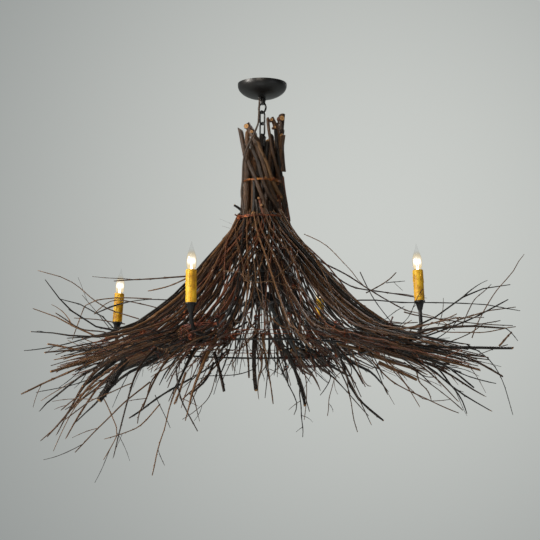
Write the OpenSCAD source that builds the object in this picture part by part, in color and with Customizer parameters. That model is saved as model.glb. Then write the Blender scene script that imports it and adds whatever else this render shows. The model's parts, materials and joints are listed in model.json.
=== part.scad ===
// Branch chandelier with four candle lights, hung on a short chain from a ceiling canopy.
// Millimetres, +Z up. The origin is on the ceiling, on the axis of the canopy.
// +X is the longer way across, and +Y is the far side.

/* [Ceiling canopy] */
// Radius of the canopy at the ceiling
canopy_r = 63.5; // [56:0.5:75]
// Depth of the canopy bowl
canopy_depth = 40; // [34:1:48]
// Straight lip at the rim of the canopy
canopy_lip = 5; // [3:0.5:8]
// Wall of the spun canopy
canopy_wall = 1.2; // [0.8:0.1:2]
// Length of the crossbar that is screwed to the outlet box
crossbar_l = 108; // [104:1:110]
// Width of the crossbar
crossbar_w = 20; // [16:1:26]
// Thickness of the crossbar
crossbar_t = 2; // [1.5:0.1:3]
// Distance between the centres of the two slots
slot_spacing = 88.9; // [84:0.1:90]
// Width of a slot
slot_w = 5; // [4:0.1:6]
// Length of a slot from end to end
slot_l = 12; // [8:0.5:14]
// Outside diameter of the threaded nipple
nipple_d = 10; // [8:0.5:12]
// Wire way through the nipple
nipple_bore_d = 6; // [4:0.5:7]
// Width across the flats of the nipple's locknut
locknut_af = 16; // [15:0.5:20]
// Thickness of the locknut
locknut_t = 4; // [3:0.5:6]
// Diameter of the grounding screw's thread
ground_screw_d = 4; // [3:0.5:5]
// Distance of the grounding screw from the axis
ground_screw_x = 24; // [18:1:30]

/* [Chain] */
// Wire of the canopy loop and of the hanger eye
loop_wire_d = 5; // [4:0.5:6]
// Centre-line radius of the canopy loop
loop_r = 13; // [11:0.5:16]
// Centre-line radius of the hanger eye
eye_r = 10; // [9:0.5:12]
// Radius of the collar that holds the canopy up
collar_r = 9; // [8:0.5:11]
// Height of that collar
collar_h = 15; // [13:0.5:20]
// Outside length of a chain link
link_l = 40; // [36:1:46]
// Outside width of a chain link
link_w = 21; // [19:0.5:24]
// Wire of a chain link
link_wire_d = 4.5; // [4:0.1:5]
// Turn of the chain about the vertical
chain_turn = 45; // [40:1:50]

/* [Iron frame] */
// Outside diameter of the centre tube
stem_d = 13; // [11:0.5:15]
// Bore of the centre tube
stem_bore_d = 9; // [7:0.5:10]
// Height of the socket that joins the hanger eye to the tube
socket_h = 22; // [18:1:26]
// Radius of that socket
socket_r = 10; // [9.5:0.5:12]
// Rod of the rings and of the hoop
rod_d = 5; // [4:0.5:6]
// Rod of the spokes
spoke_d = 4.4; // [3.4:0.2:4.8]
// Height of a ring's collar on the tube
spider_collar_h = 10; // [8:1:14]
// Radius of the hub
hub_r = 30; // [26:1:34]
// Height of the hub
hub_h = 26; // [22:1:32]
// Height of the hub's underside
hub_z = -572; // [-580:1:-566]
// Radius of the cover under the hub
cover_r = 26; // [20:1:28]
// Height of the finial nut
finial_h = 14; // [10:1:18]
// Height of the ring that the hanging twigs are wired to
curtain_ring_z = -500; // [-506:1:-494]
// Centre-line radius of that ring
curtain_ring_r = 75; // [72:1:80]
// Height of the big hoop that carries the skirt
hoop_z = -690; // [-694:1:-686]
// Centre-line radius of the big hoop
hoop_r = 280; // [274:1:288]

/* [Arms] */
// Outside diameter of an arm tube
arm_d = 9; // [8:0.5:10]
// Distance of the candles from the axis
candle_r = 418; // [410:1:426]
// Turn of the first arm, which is the front right one
arm_turn = -22.5; // [-25:0.5:-20]
// Slope of an arm where it leaves the hub
arm_drop = 29; // [27:0.5:31]
// Centre-line radius of the first bend of an arm
arm_bend_r = 60; // [50:1:80]
// Centre-line radius of the bend under a candle
j_bend_r = 42; // [36:1:46]
// Straight tube above the bend, on a candle of middle height
post_l = 17; // [17:0.5:22]
// Diameter of the threaded end of an arm
thread_d = 8; // [7:0.5:8]

/* [Candles] */
// Height of a cup
cup_h = 22.5; // [18:0.5:28]
// Radius of the disc of a cup
cup_r = 13.6; // [13:0.1:15]
// Radius of a candle sleeve
sleeve_r = 12.5; // [12:0.1:13]
// Wall of a candle sleeve
sleeve_wall = 2.3; // [1.8:0.1:2.6]
// Height of a candle sleeve
sleeve_h = 76; // [64:1:90]
// Radius of a lampholder
lampholder_r = 9; // [8.4:0.1:9.2]
// How far the lampholder stays below the top of the sleeve
lampholder_drop = 6; // [4:0.5:10]
// Diameter of the screw base of a bulb
base_d = 11.8; // [11:0.1:12]
// Length of the screw base inside the lampholder
base_l = 20; // [16:0.5:24]
// Largest radius of the bulb
bulb_r = 12; // [11:0.1:12.5]
// Height of the bulb's glass
bulb_h = 68; // [60:1:76]
// Thickness of the glass
glass_t = 0.8; // [0.6:0.1:1.2]

/* [Trunk] */
// Number of thick sticks in the trunk
stick_count = 15; // [13:1:17]
// Radius of the ring of sticks at its waist
waist_r = 42; // [40:0.5:46]
// Height of the waist
waist_z = -270; // [-276:1:-264]
// Sideways lean of a stick for each unit of height
stick_lean = 0.226; // [0.18:0.002:0.26]
// Height of the highest stick top
stick_top_z = -82; // [-90:1:-80]
// Height of the lowest stick end
stick_low_z = -398; // [-402:1:-385]
// Height of the upper wire
upper_tie_z = -248; // [-254:1:-242]
// Height of the lower wire, where the twigs start
lower_tie_z = -345; // [-350:1:-340]
// Thickness of the copper wire
wire_d = 1.6; // [1.2:0.1:2]
// Turns of the upper wire
upper_turns = 2; // [1:1:3]
// Turns of the lower wire
lower_turns = 3; // [2:1:4]

/* [Twigs] */
// Thickness of the long twigs of the two upper layers
long_twig_d = 5.4; // [4.6:0.1:5.4]
// Thickness of the twigs of the third layer
third_twig_d = 5.2; // [4:0.1:5.6]
// Thickness of the twigs that lie on the big hoop
hoop_twig_d = 8.6; // [7.6:0.1:9]
// Thickness of the two crossing layers above them
cross_twig_d = 6; // [5:0.1:6.4]
// Thickness of the hanging twigs in the middle
curtain_twig_d = 6; // [5:0.1:6.4]
// Thickness of a twig's tip
tip_d = 2.2; // [1.6:0.1:2.6]
// Usual reach of the skirt
rim_r = 600; // [580:5:620]
// Thickness of a side shoot at its root, as a share of its twig's
fork_share = 0.75; // [0.6:0.05:0.8]
// Share of the places on the top of the skirt that bear a side shoot
high_forks = 0.8; // [0.6:0.05:1]
// Share of the places on the underside that bear one
low_forks = 0.8; // [0.6:0.05:1]

/* [Supply cord] */
// Diameter of the supply cord
cord_d = 5; // [4.5:0.1:5]
// Wall of the bushing in the canopy
bushing_wall = 1.6; // [1.4:0.1:2]
// Length of the bushing
bushing_l = 12; // [10:0.5:16]

/* [Hidden] */

// Round faces of exact shapes
$fn = 48;
// Gap between pieces that lie against each other
gap = 0.3;
// Clearance of a thread or a tube in its bore
fit = 0.15;
// Clearance of a bulb in its lampholder
bulb_fit = 0.4;
// A little more than nothing, for cuts that run past a face
past = 1;

black = "#1d1a19";
bark = "#4a3529";
bark_red = "#5b3a2b";
copper = "#9a4f2e";

// The four arms in order: front right, back right, back left, front left
function arm_az(k) = arm_turn + 90 * k;
// How much higher than the middle each candle stands, as the arms are bent by hand
candle_rise = [14, 8, -5, -16];
// How far each candle leans towards the middle, in degrees
candle_lean = [2.8, 1, 4, 0.5];

// Heights along the chain
collar_z = -canopy_depth;
// Length of the nipple inside the collar
nipple_reach = collar_h - 8;
// How far the loop's wire is sunk in the collar beyond the underside
loop_sink = 1.3;
loop_z = collar_z - collar_h + loop_wire_d / 2 + loop_sink - loop_r;
loop_contact_z = loop_z - loop_r;
link_bend_r = (link_w - link_wire_d) / 2;
link_straight = link_l - link_w;
link_reach = link_l - link_wire_d;
link_step = link_reach - link_wire_d - gap;
link_1_z = loop_contact_z + (loop_wire_d + link_wire_d) / 2 + gap;
eye_top_z = link_1_z - 2 * link_step - link_reach + (loop_wire_d + link_wire_d) / 2 + gap;
eye_z = eye_top_z - eye_r;
socket_z = eye_z - eye_r - loop_wire_d / 2 + past;

// Levels round the big hoop, from the hoop upwards
hoop_top_z = hoop_z + rod_d / 2;
arm_low_z = hoop_top_z + gap + arm_d / 2;
hoop_twig_z = hoop_top_z + gap + hoop_twig_d / 2;
low_wire_z = max(arm_low_z + arm_d / 2, hoop_twig_z + hoop_twig_d / 2) + gap + wire_d / 2;
low_cross_z = low_wire_z + wire_d / 2 + gap + cross_twig_d / 2;
high_wire_z = low_cross_z + cross_twig_d / 2 + 2 * gap + wire_d / 2;
high_cross_z = high_wire_z + wire_d / 2 + gap + cross_twig_d / 2;

// Line of an arm, from inside the hub to the first bend
arm_root_r = hub_r - 12;
hub_top_z = hub_z + hub_h;
arm_root_z = hub_z + hub_h / 2 + 4;
arm_rise_at_bend = arm_bend_r * (1 - cos(arm_drop));
arm_run = (arm_root_z - arm_low_z - arm_rise_at_bend) / tan(arm_drop);
bend_x = arm_root_r + arm_run + arm_bend_r * sin(arm_drop);
function arm_line_z(r) = arm_root_z - (r - arm_root_r) * tan(arm_drop);
function j_x(k) = candle_r - j_bend_r * cos(candle_lean[k]);
function post_of(k) = post_l + candle_rise[k];

// Heights on a candle, counted from the underside of its cup
thread_r = thread_d / 2;
thread_l = cup_h + 8;
lampholder_h = sleeve_h - lampholder_drop;
base_z = cup_h + lampholder_h - base_l;
glass_z = cup_h + lampholder_h + 3;

// Numbers between 0 and 1 that look random and are the same each time
function rnd(i, s) =
    let(v = sin(71.3 * i + 37.7 * s + 11.9) * 9143.7)
    v - floor(v);
function sum_to(v, n) = n <= 0 ? 0 : v[n - 1] + sum_to(v, n - 1);
function mix(a, b, t) = a + (b - a) * t;
function unit(v) = v / norm(v);

// Trunk: the sticks share the ring at the waist, and each is as thick as its share allows
stick_share = [for (i = [0:stick_count - 1]) 1 + 0.34 * (rnd(i, 3) - 0.5)];
stick_share_sum = sum_to(stick_share, stick_count);
stick_way = 360 * waist_r * PI / 180 * cos(atan(stick_lean));
stick_gap = 0.5;
stick_sizes = [for (s = stick_share) stick_way * s / stick_share_sum * 0.985 - stick_gap];
thick_stick = max(stick_sizes);
function stick_az(i) = 360 * (sum_to(stick_share, i) + stick_share[i] / 2) / stick_share_sum + 90;
function trunk_r(z) = norm([waist_r, stick_lean * (z - waist_z)]);
// Thin sticks stand further out, so that the wires bear on them all
function stick_point(i, z) =
    let(a = stick_az(i), r = waist_r + (thick_stick - stick_sizes[i]) / 2, s = -stick_lean * (z - waist_z))
    [r * cos(a) - s * sin(a), r * sin(a) + s * cos(a), z];

// A tie goes round in short straight steps, so it is laid out by that much wider
wire_steps = 24;
function sag(r) = r * (1 - cos(180 / wire_steps));

// Neck: the two layers of long twigs lie on the sticks, under the lower wire
inner_neck_r = trunk_r(lower_tie_z) + thick_stick / 2 + gap + long_twig_d / 2;
neck_r = inner_neck_r + long_twig_d + 4 * gap;
lower_tie_r = neck_r + long_twig_d / 2 + gap + wire_d / 2 + sag(neck_r);
upper_tie_r = trunk_r(upper_tie_z) + thick_stick / 2 + gap + wire_d / 2 + sag(waist_r);

// Outline of the skirt between the neck and the bundles, as steps out and down from the neck
flare = [[0, 0], [18, -26], [40, -56], [88, -122], [155, -208]];
// From here outwards the layers share the skirt's thickness
bundle_r = 348;
// Height of the top and of the underside of the skirt, in steps outwards from the bundles
skirt_steps = [0, 92, 182, 272, 342];
skirt_top_z = [-648, -676, -698, -712, -720];
skirt_low_z = [-708, -727, -752, -778, -804];
function skirt_table(heights) = [for (j = [0:len(heights) - 1]) [bundle_r + skirt_steps[j], heights[j]]];
skirt_top = skirt_table(skirt_top_z);
skirt_low = skirt_table(skirt_low_z);
outer_stations = [for (j = [0:3]) bundle_r + skirt_steps[j]];
function skirt_z(r, t) = mix(lookup(r, skirt_top), lookup(r, skirt_low), t);
function flare_point(j, inward) =
    let(
        a = flare[max(0, j - 1)],
        b = flare[min(len(flare) - 1, j + 1)],
        n = j == 0 ? [1, 0] : unit([a[1] - b[1], b[0] - a[0]])
    )
    [neck_r + flare[j][0], lower_tie_z + flare[j][1]] - inward * n;

// How far the second and third layers lie inside the first, along the flare
inner_depth = [long_twig_d + 4 * gap, long_twig_d + 1.4, 8, 11, 13];
third_wire_depth = inner_depth[2] + long_twig_d / 2 + 2 * gap + wire_d / 2;
third_start_depth = third_wire_depth + wire_d / 2 + 1.4 * gap + third_twig_d / 2;
third_depth = [0, 0, third_start_depth, 22, 28];

// The layers turn about the axis on their way out, and run straight out from the bundles on
turn_at_neck = 28;
function turn_left(r) = pow(max(0, (bundle_r - r) / (bundle_r - neck_r)), 4);

// Lanes: each twig has its own slot of azimuth, narrow beside the arms and wide between them
bundle_half = 12;
function group_slots(from, span, count, seed, jitter) =
    let(
        w = [for (i = [0:count - 1]) 1 + jitter * (rnd(i, seed) - 0.5)],
        total = sum_to(w, count)
    )
    [for (i = [0:count - 1]) [from + span * (sum_to(w, i) + w[i] / 2) / total, span * w[i] / total]];
function layer_slots(near, middle, seed) = [
    for (q = [0:3])
        for (part = [[0, near, 0.05], [1, middle, 0.24], [2, near, 0.05]])
            let(
                from = part[0] == 0 ? 0 : part[0] == 1 ? bundle_half : 90 - bundle_half,
                span = part[0] == 1 ? 90 - 2 * bundle_half : bundle_half
            )
            each group_slots(arm_az(q) + from, span, part[1], seed + 5 * q + part[0], part[2])
];

// How freely a twig wanders: not at all up to the bundles, and more towards the rim
function freedom(r) = min(1, max(0, (r - bundle_r) / 210));
function side_room(r, slot, d) = slot[1] / 2 * PI / 180 * r - d / 2 - 1;

// Outer part of a twig's line: [radius, height, azimuth]
function outer_line(slot, t, reach, seed, i, lift, shake, d) =
    let(
        bend = 1.5 * (rnd(i, seed + 1) - 0.5),
        stations = [for (r = outer_stations) if (r < reach - 25) r]
    )
    [
        for (r = concat(stations, [reach]))
            let(
                f = freedom(r),
                kink = 0.5 * (rnd(i + r, seed + 2) - 0.5),
                side = side_room(r, slot, d) * max(-0.9, min(0.9, bend + kink)) * f,
                up = f * f * lift + f * shake * (rnd(i + r, seed + 3) - 0.5)
            )
            [r, skirt_z(r, t) + up, slot[0] + side / r * 180 / PI]
    ];

// Reach of a usual twig, a little less on the near and far sides
function usual_reach(i, seed, slot, low, high) =
    rim_r * mix(low, high, rnd(i, seed)) * (1 - 0.07 * pow(sin(slot[0]), 2));

// A twig's line in space, and the directions that its flat sides keep to
function to_space(line) = [for (p = line) [p[0] * cos(p[2]), p[0] * sin(p[2]), p[1]]];
function normals_of(line) = [
    for (j = [0:len(line) - 1])
        let(
            a = line[max(0, j - 1)],
            b = line[min(len(line) - 1, j + 1)],
            n = unit([a[1] - b[1], b[0] - a[0]]),
            az = line[j][2]
        )
        [n[0] * cos(az), n[0] * sin(az), n[1]]
];
// Full thickness up to the binding, then an even taper to the tip
function taper(line, d, bound) = [
    for (j = [0:len(line) - 1])
        j <= bound ? d / 2 : mix(d, tip_d, (j - bound) / (len(line) - 1 - bound)) / 2
];

// One round tube along points, as rings of sides joined by triangles.
// cut slants the two ends, and up sets where each ring starts.
module tube(points, radii, up, sides, cut = 0) {
    last = len(points) - 1;
    ring_points = [
        for (j = [0:last])
            let(
                d = unit(points[min(last, j + 1)] - points[max(0, j - 1)]),
                u = unit(up[j] - (up[j] * d) * d),
                v = cross(d, u),
                slant = j == 0 || j == last ? cut : 0
            )
            for (k = [0:sides - 1])
                let(c = cos(360 * k / sides), s = sin(360 * k / sides))
                points[j] + radii[j] * (c * u + s * v - slant * c * d)
    ];
    side_faces = [
        for (j = [0:last - 1])
            for (k = [0:sides - 1])
                let(a = j * sides + k, b = j * sides + (k + 1) % sides)
                each [[a, a + sides, b + sides], [a, b + sides, b]]
    ];
    first_cap = [for (k = [1:sides - 2]) [0, k, k + 1]];
    end = last * sides;
    last_cap = [for (k = [1:sides - 2]) [end, end + k + 1, end + k]];
    polyhedron(points = ring_points, faces = concat(side_faces, first_cap, last_cap));
}

module twig(line, d, bound, sides = 4) {
    tube(to_space(line), taper(line, d, bound), normals_of(line), sides);
}

// A side shoot forks off a twig at point j of its line. It leaves the skirt by rise, and keeps to
// the side of the lane that the twig leaves free.
module fork(line, d, bound, j, slot, t, seed, i, length, rise) {
    root = line[j];
    run = min(length, shoot_reach - root[0]);
    root_r = taper(line, d, bound)[j] * fork_share;
    off = root[1] - skirt_z(root[0], t);
    way = rnd(i, seed + 1) < 0.5 ? 1 : -1;
    points = concat([root], [
        for (s = [0.5, 1])
            let(
                r = root[0] + run * s,
                side = way * side_room(r, slot, tip_d) * 0.85,
                az = slot[0] + side / r * 180 / PI
            )
            [r, skirt_z(r, t) + off + rise * pow(s, 1.4), mix(root[2], az, min(1, 1.3 * s))]
    ]);
    tube(to_space(points), [root_r, mix(root_r, tip_d / 2, 0.5), tip_d / 2], normals_of(points), 4);
}

// Least distance between the turns of a wire, less its thickness
function least_gap(points) = min([
    for (i = [0:len(points) - 1])
        for (j = [i + wire_steps / 2:len(points) - 1])
            norm(points[i] - points[j])
]) - wire_d;

wire_pitch = wire_d + 0.8;
// A wire wound round the axis, whose turns lie side by side along way, given as [outwards, up]
module round_tie(r, z, turns, start, name, way = [0, 1]) {
    steps = wire_steps * turns;
    points = [
        for (j = [0:steps])
            let(a = start + 360 * j / wire_steps, wide = r + way[0] * wire_pitch * j / wire_steps)
            [wide * cos(a), wide * sin(a), z + way[1] * wire_pitch * j / wire_steps]
    ];
    up = [for (p = points) [p[0], p[1], 0]];
    echo(str(name, ": least gap between turns ", least_gap(points), " mm"));
    tube(points, [for (p = points) wire_d / 2], up, 6);
}

// Ceiling canopy and what holds it

module slot_cut(x) {
    end_x = (slot_l - slot_w) / 2;
    translate([x, 0, -crossbar_t - past]) {
        for (side = [-1, 1])
            translate([side * end_x, 0, 0])
                cylinder(d = slot_w, h = crossbar_t + 2 * past);
        translate([-end_x, -slot_w / 2, 0])
            cube([2 * end_x, slot_w, crossbar_t + 2 * past]);
    }
}

module crossbar() {
    color("silver")
    difference() {
        translate([-crossbar_l / 2, -crossbar_w / 2, -crossbar_t])
            cube([crossbar_l, crossbar_w, crossbar_t]);
        slot_cut(-slot_spacing / 2);
        slot_cut(slot_spacing / 2);
        translate([0, 0, -crossbar_t - past])
            cylinder(d = nipple_d + 2 * fit, h = crossbar_t + 2 * past);
        translate([ground_screw_x, 0, -crossbar_t - past])
            cylinder(d = ground_screw_d + 2 * fit, h = crossbar_t + 2 * past);
    }
}

module ground_screw() {
    head_h = 2.4;
    color("green")
    translate([ground_screw_x, 0, 0])
    rotate_extrude()
        polygon([
            [0, -0.2], [ground_screw_d / 2, -0.2], [ground_screw_d / 2, -crossbar_t],
            [ground_screw_d, -crossbar_t], [ground_screw_d, -crossbar_t - head_h * 0.6],
            [ground_screw_d * 0.7, -crossbar_t - head_h], [0, -crossbar_t - head_h]
        ]);
}

module nipple() {
    color("goldenrod")
    translate([0, 0, collar_z - nipple_reach])
    difference() {
        cylinder(d = nipple_d, h = canopy_depth + nipple_reach - 0.5);
        translate([0, 0, -past])
            cylinder(d = nipple_bore_d, h = canopy_depth + nipple_reach + 2 * past);
    }
}

module locknut() {
    color("silver")
    translate([0, 0, -crossbar_t - locknut_t])
    difference() {
        cylinder(d = locknut_af / cos(30), h = locknut_t, $fn = 6);
        translate([0, 0, -past])
            cylinder(d = nipple_d + 2 * fit, h = locknut_t + 2 * past);
    }
}

// The bowl is half an ellipse, stopped at the collar that carries it
function bowl(r, depth, from_z, stop) = [
    for (i = [0:16])
        let(t = i / 16 * acos(stop / r))
        [r * cos(t), from_z - depth * sin(t)]
];

cord_hole = [-7, -14.5];

module canopy() {
    stop = nipple_d / 2 + fit;
    bowl_h = (canopy_depth - canopy_lip) / sin(acos(stop / canopy_r));
    outside = bowl(canopy_r, bowl_h, -canopy_lip, stop);
    inside = bowl(canopy_r - canopy_wall, bowl_h - canopy_wall, -canopy_lip, stop);
    count = len(inside);
    color(black)
    difference() {
        rotate_extrude($fn = 96)
            polygon(concat(
                [[canopy_r, 0]],
                outside,
                [for (i = [count - 1:-1:0]) inside[i]],
                [[canopy_r - canopy_wall, 0]]
            ));
        translate([cord_hole[0], cord_hole[1], -canopy_depth - past])
            cylinder(r = cord_d / 2 + gap + bushing_wall + fit, h = canopy_depth);
    }
}

module cord_bushing() {
    color("dimgray")
    translate([cord_hole[0], cord_hole[1], -canopy_depth - 4])
    difference() {
        cylinder(r = cord_d / 2 + gap + bushing_wall, h = bushing_l);
        translate([0, 0, -past])
            cylinder(r = cord_d / 2 + gap, h = bushing_l + 2 * past);
    }
}

module ring_upright(r, wire) {
    rotate([90, 0, 0])
    rotate_extrude()
        translate([r, 0])
            circle(d = wire);
}

module canopy_loop() {
    color(black)
    difference() {
        union() {
            translate([0, 0, collar_z - collar_h])
            rotate_extrude()
                polygon([
                    [0, 0], [collar_r - 2.2, 0], [collar_r - 1, 2], [collar_r - 1, collar_h - 6],
                    [collar_r, collar_h - 5], [collar_r, collar_h], [0, collar_h]
                ]);
            translate([0, 0, loop_z])
            rotate([0, 0, -chain_turn])
                ring_upright(loop_r, loop_wire_d);
        }
        translate([0, 0, collar_z - nipple_reach - 0.5])
            cylinder(d = nipple_d + 2 * fit, h = nipple_reach + 0.5 + past);
    }
}

// Chain

module chain_link(n) {
    turn = n % 2 == 1 ? chain_turn : -chain_turn;
    color(black)
    translate([0, 0, link_1_z - (n - 1) * link_step - link_reach / 2])
    rotate([0, 0, turn]) {
        for (end = [1, -1])
            translate([0, 0, end * link_straight / 2])
            rotate([90 * end, 0, 0])
            rotate_extrude(angle = 180)
                translate([link_bend_r, 0])
                    circle(d = link_wire_d);
        for (side = [-1, 1])
            translate([side * link_bend_r, 0, -link_straight / 2])
                cylinder(d = link_wire_d, h = link_straight);
    }
}

// Iron frame

// Top of the tube, which stops under a solid web in the socket
stem_top_z = socket_z - 8;

module hanger_eye() {
    color(black)
    difference() {
        union() {
            translate([0, 0, socket_z - socket_h])
            rotate_extrude()
                polygon([
                    [0, 0], [socket_r - 1, 0], [socket_r, 1], [socket_r, socket_h - 6],
                    [socket_r - 3.5, socket_h], [0, socket_h]
                ]);
            translate([0, 0, eye_z])
            rotate([0, 0, -chain_turn])
                ring_upright(eye_r, loop_wire_d);
        }
        translate([0, 0, socket_z - socket_h - past])
            cylinder(d = stem_d + 2 * fit, h = socket_h - 8 + past + fit);
    }
}

finial_z = hub_z - 4 - finial_h;

module stem() {
    low = finial_z + 4;
    color(black)
    translate([0, 0, low])
    difference() {
        cylinder(d = stem_d, h = stem_top_z - low);
        translate([0, 0, -past])
            cylinder(d = stem_bore_d, h = stem_top_z - low + 2 * past);
    }
}

// A ring of rod on spokes from a collar that slides on the tube
module spider(z, ring_r, spokes, turn) {
    color(black)
    translate([0, 0, z])
    difference() {
        union() {
            rotate_extrude($fn = 96)
                translate([ring_r, 0])
                    circle(d = rod_d, $fn = 24);
            for (k = [0:spokes - 1])
                rotate([0, 90, turn + 360 * k / spokes])
                    cylinder(d = spoke_d, h = ring_r, $fn = 24);
            translate([0, 0, -spider_collar_h / 2])
                cylinder(d = stem_d + 7, h = spider_collar_h);
        }
        translate([0, 0, -spider_collar_h / 2 - past])
            cylinder(d = stem_d + 2 * fit, h = spider_collar_h + 2 * past);
    }
}

module upper_ring() {
    spider(upper_tie_z, trunk_r(upper_tie_z) - thick_stick / 2 - gap - rod_d / 2, 3, 30);
}

module lower_ring() {
    spider(lower_tie_z, trunk_r(lower_tie_z) - thick_stick / 2 - gap - rod_d / 2, 3, 90);
}

module curtain_ring() {
    spider(curtain_ring_z, curtain_ring_r, 4, arm_turn);
}

module hub() {
    color(black)
    difference() {
        translate([0, 0, hub_z])
        rotate_extrude()
            polygon([
                [0, 0], [hub_r - 3, 0], [hub_r, 3], [hub_r, hub_h - 5], [hub_r - 5, hub_h], [0, hub_h]
            ]);
        translate([0, 0, hub_z - past])
            cylinder(d = stem_d + 2 * fit, h = hub_h + 2 * past);
        for (k = [0:3])
            rotate([0, 0, arm_az(k)])
            translate([arm_root_r, 0, arm_root_z])
            rotate([0, 90 + arm_drop, 0])
            translate([0, 0, -fit])
                cylinder(d = arm_d + 2 * fit, h = hub_r);
    }
}

module hub_cover() {
    color(black)
    translate([0, 0, hub_z - 4])
    difference() {
        rotate_extrude()
            polygon([[0, 0], [cover_r - 8, 0], [cover_r, 3], [cover_r, 4], [0, 4]]);
        translate([0, 0, -past])
            cylinder(d = stem_d + 2 * fit, h = 4 + 2 * past);
    }
}

module finial() {
    r = stem_d / 2 + 4;
    color(black)
    translate([0, 0, finial_z])
    difference() {
        rotate_extrude()
            polygon([
                [0, 0], [3, 0.6], [5, 2.4], [r - 3, 4], [r, 7], [r, finial_h - 3],
                [r - 1, finial_h], [0, finial_h]
            ]);
        translate([0, 0, 4 - fit])
            cylinder(d = stem_d + 2 * fit, h = finial_h);
    }
}

module hoop() {
    color(black)
    translate([0, 0, hoop_z])
    rotate_extrude($fn = 128)
        translate([hoop_r, 0])
            circle(d = rod_d, $fn = 24);
}

// Arms

// A thin band of weld over the joint of two lengths of tube
module weld() {
    translate([0, 0, -1])
        cylinder(d = arm_d + 0.3, h = 2);
}

module arm(k) {
    lean = candle_lean[k];
    color(black)
    rotate([0, 0, arm_az(k)]) {
        translate([arm_root_r, 0, arm_root_z])
        rotate([0, 90 + arm_drop, 0]) {
            cylinder(d = arm_d, h = arm_run / cos(arm_drop));
            translate([0, 0, arm_run / cos(arm_drop)])
                weld();
        }
        translate([bend_x, 0, arm_low_z + arm_bend_r])
        rotate([90, 0, 0])
        rotate([0, 0, -90 - arm_drop])
        rotate_extrude(angle = arm_drop)
            translate([arm_bend_r, 0])
                circle(d = arm_d);
        translate([bend_x, 0, arm_low_z])
        rotate([0, 90, 0]) {
            cylinder(d = arm_d, h = j_x(k) - bend_x);
            weld();
            translate([0, 0, j_x(k) - bend_x])
                weld();
        }
        translate([j_x(k), 0, arm_low_z + j_bend_r])
        rotate([90, 0, 0])
        rotate([0, 0, -90])
        rotate_extrude(angle = 90 + lean)
            translate([j_bend_r, 0])
                circle(d = arm_d);
    }
    color(black)
    at_candle(k) {
        translate([0, 0, -post_of(k)]) {
            cylinder(d = arm_d, h = post_of(k));
            weld();
        }
        cylinder(r = thread_r, h = thread_l);
    }
}

// Puts what follows on the end of arm k, with the underside of the cup at height 0
module at_candle(k) {
    lean = candle_lean[k];
    rotate([0, 0, arm_az(k)])
    translate([candle_r, 0, arm_low_z + j_bend_r + j_bend_r * sin(lean)])
    rotate([0, -lean, 0])
    translate([0, 0, post_of(k)])
        children();
}

// Candles

module cup(k) {
    bore = thread_r + fit;
    color(black)
    at_candle(k)
    rotate_extrude()
        polygon([
            [bore, 0], [arm_d / 2 + 1.2, 0], [arm_d / 2 + 2.2, cup_h * 0.18],
            [cup_r - 4.4, cup_h * 0.62], [cup_r - 1.6, cup_h * 0.8], [cup_r, cup_h * 0.87],
            [cup_r, cup_h - 0.6], [cup_r - 0.6, cup_h], [bore, cup_h]
        ]);
}

module lampholder(k) {
    color("#2a2624")
    at_candle(k)
    translate([0, 0, cup_h])
    difference() {
        cylinder(r = lampholder_r, h = lampholder_h);
        translate([0, 0, -past])
            cylinder(r = thread_r + fit, h = thread_l - cup_h + past + gap);
        translate([0, 0, lampholder_h - base_l - gap])
            cylinder(d = base_d + 2 * bulb_fit, h = base_l + gap + past);
    }
}

// A run of wax, thin above and round below, half sunk in the sleeve
module wax_drip(length, r) {
    rotate_extrude($fn = 20)
        polygon([
            [0, 0], [r * 0.45, -1], [r * 0.6, -length * 0.6], [r, -length + r],
            [r * 0.75, -length + r * 0.3], [0, -length]
        ]);
}

module sleeve(k) {
    drips = 6;
    inner_r = sleeve_r - sleeve_wall;
    color("#dcae3c")
    at_candle(k)
    translate([0, 0, cup_h]) {
        rotate_extrude()
            polygon([
                [inner_r, 0], [sleeve_r, 0], [sleeve_r, sleeve_h - 1.4],
                [sleeve_r - 0.9, sleeve_h], [inner_r, sleeve_h]
            ]);
        for (i = [0:drips - 1])
            let(
                a = 360 * (i + 0.5 * rnd(i, k + 50)) / drips,
                length = sleeve_h * mix(0.15, 0.55, rnd(i, k + 60))
            )
            rotate([0, 0, a])
            translate([sleeve_r - 0.25, 0, sleeve_h - 1.5])
                wax_drip(length, mix(1.1, 1.6, rnd(i, k + 70)));
    }
}

function curve(p, t) =
    pow(1 - t, 3) * p[0] + 3 * t * pow(1 - t, 2) * p[1] + 3 * t * t * (1 - t) * p[2] + pow(t, 3) * p[3];

// Outline of a flame bulb: a round belly that draws out to a point
neck_glass_r = base_d / 2 - 0.4;
belly = [[neck_glass_r, 0], [bulb_r * 0.84, 4], [bulb_r, bulb_h * 0.18], [bulb_r, bulb_h * 0.33]];
flame = [[bulb_r, bulb_h * 0.33], [bulb_r, bulb_h * 0.56], [bulb_r * 0.27, bulb_h * 0.74], [0.9, bulb_h]];

function bulb_outline(inward) = concat(
    [for (i = [0:7]) curve(belly, i / 7) - [inward, 0]],
    [for (i = [1:10]) let(p = curve(flame, i / 10)) [max(0.35, p[0] - inward), p[1] - inward]]
);

module bulb(k) {
    outside = bulb_outline(0);
    inside = [for (p = bulb_outline(glass_t)) [p[0], max(p[1], 1.2)]];
    count = len(inside);
    color("#f4efe2", 0.4)
    at_candle(k)
    translate([0, 0, glass_z])
    difference() {
        rotate_extrude()
            polygon(concat([[0, 0]], outside, [[0, bulb_h]]));
        rotate_extrude()
            polygon(concat([[0, 1.2]], [for (i = [0:count - 3]) inside[i]], [[0, inside[count - 3][1]]]));
    }
}

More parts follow.
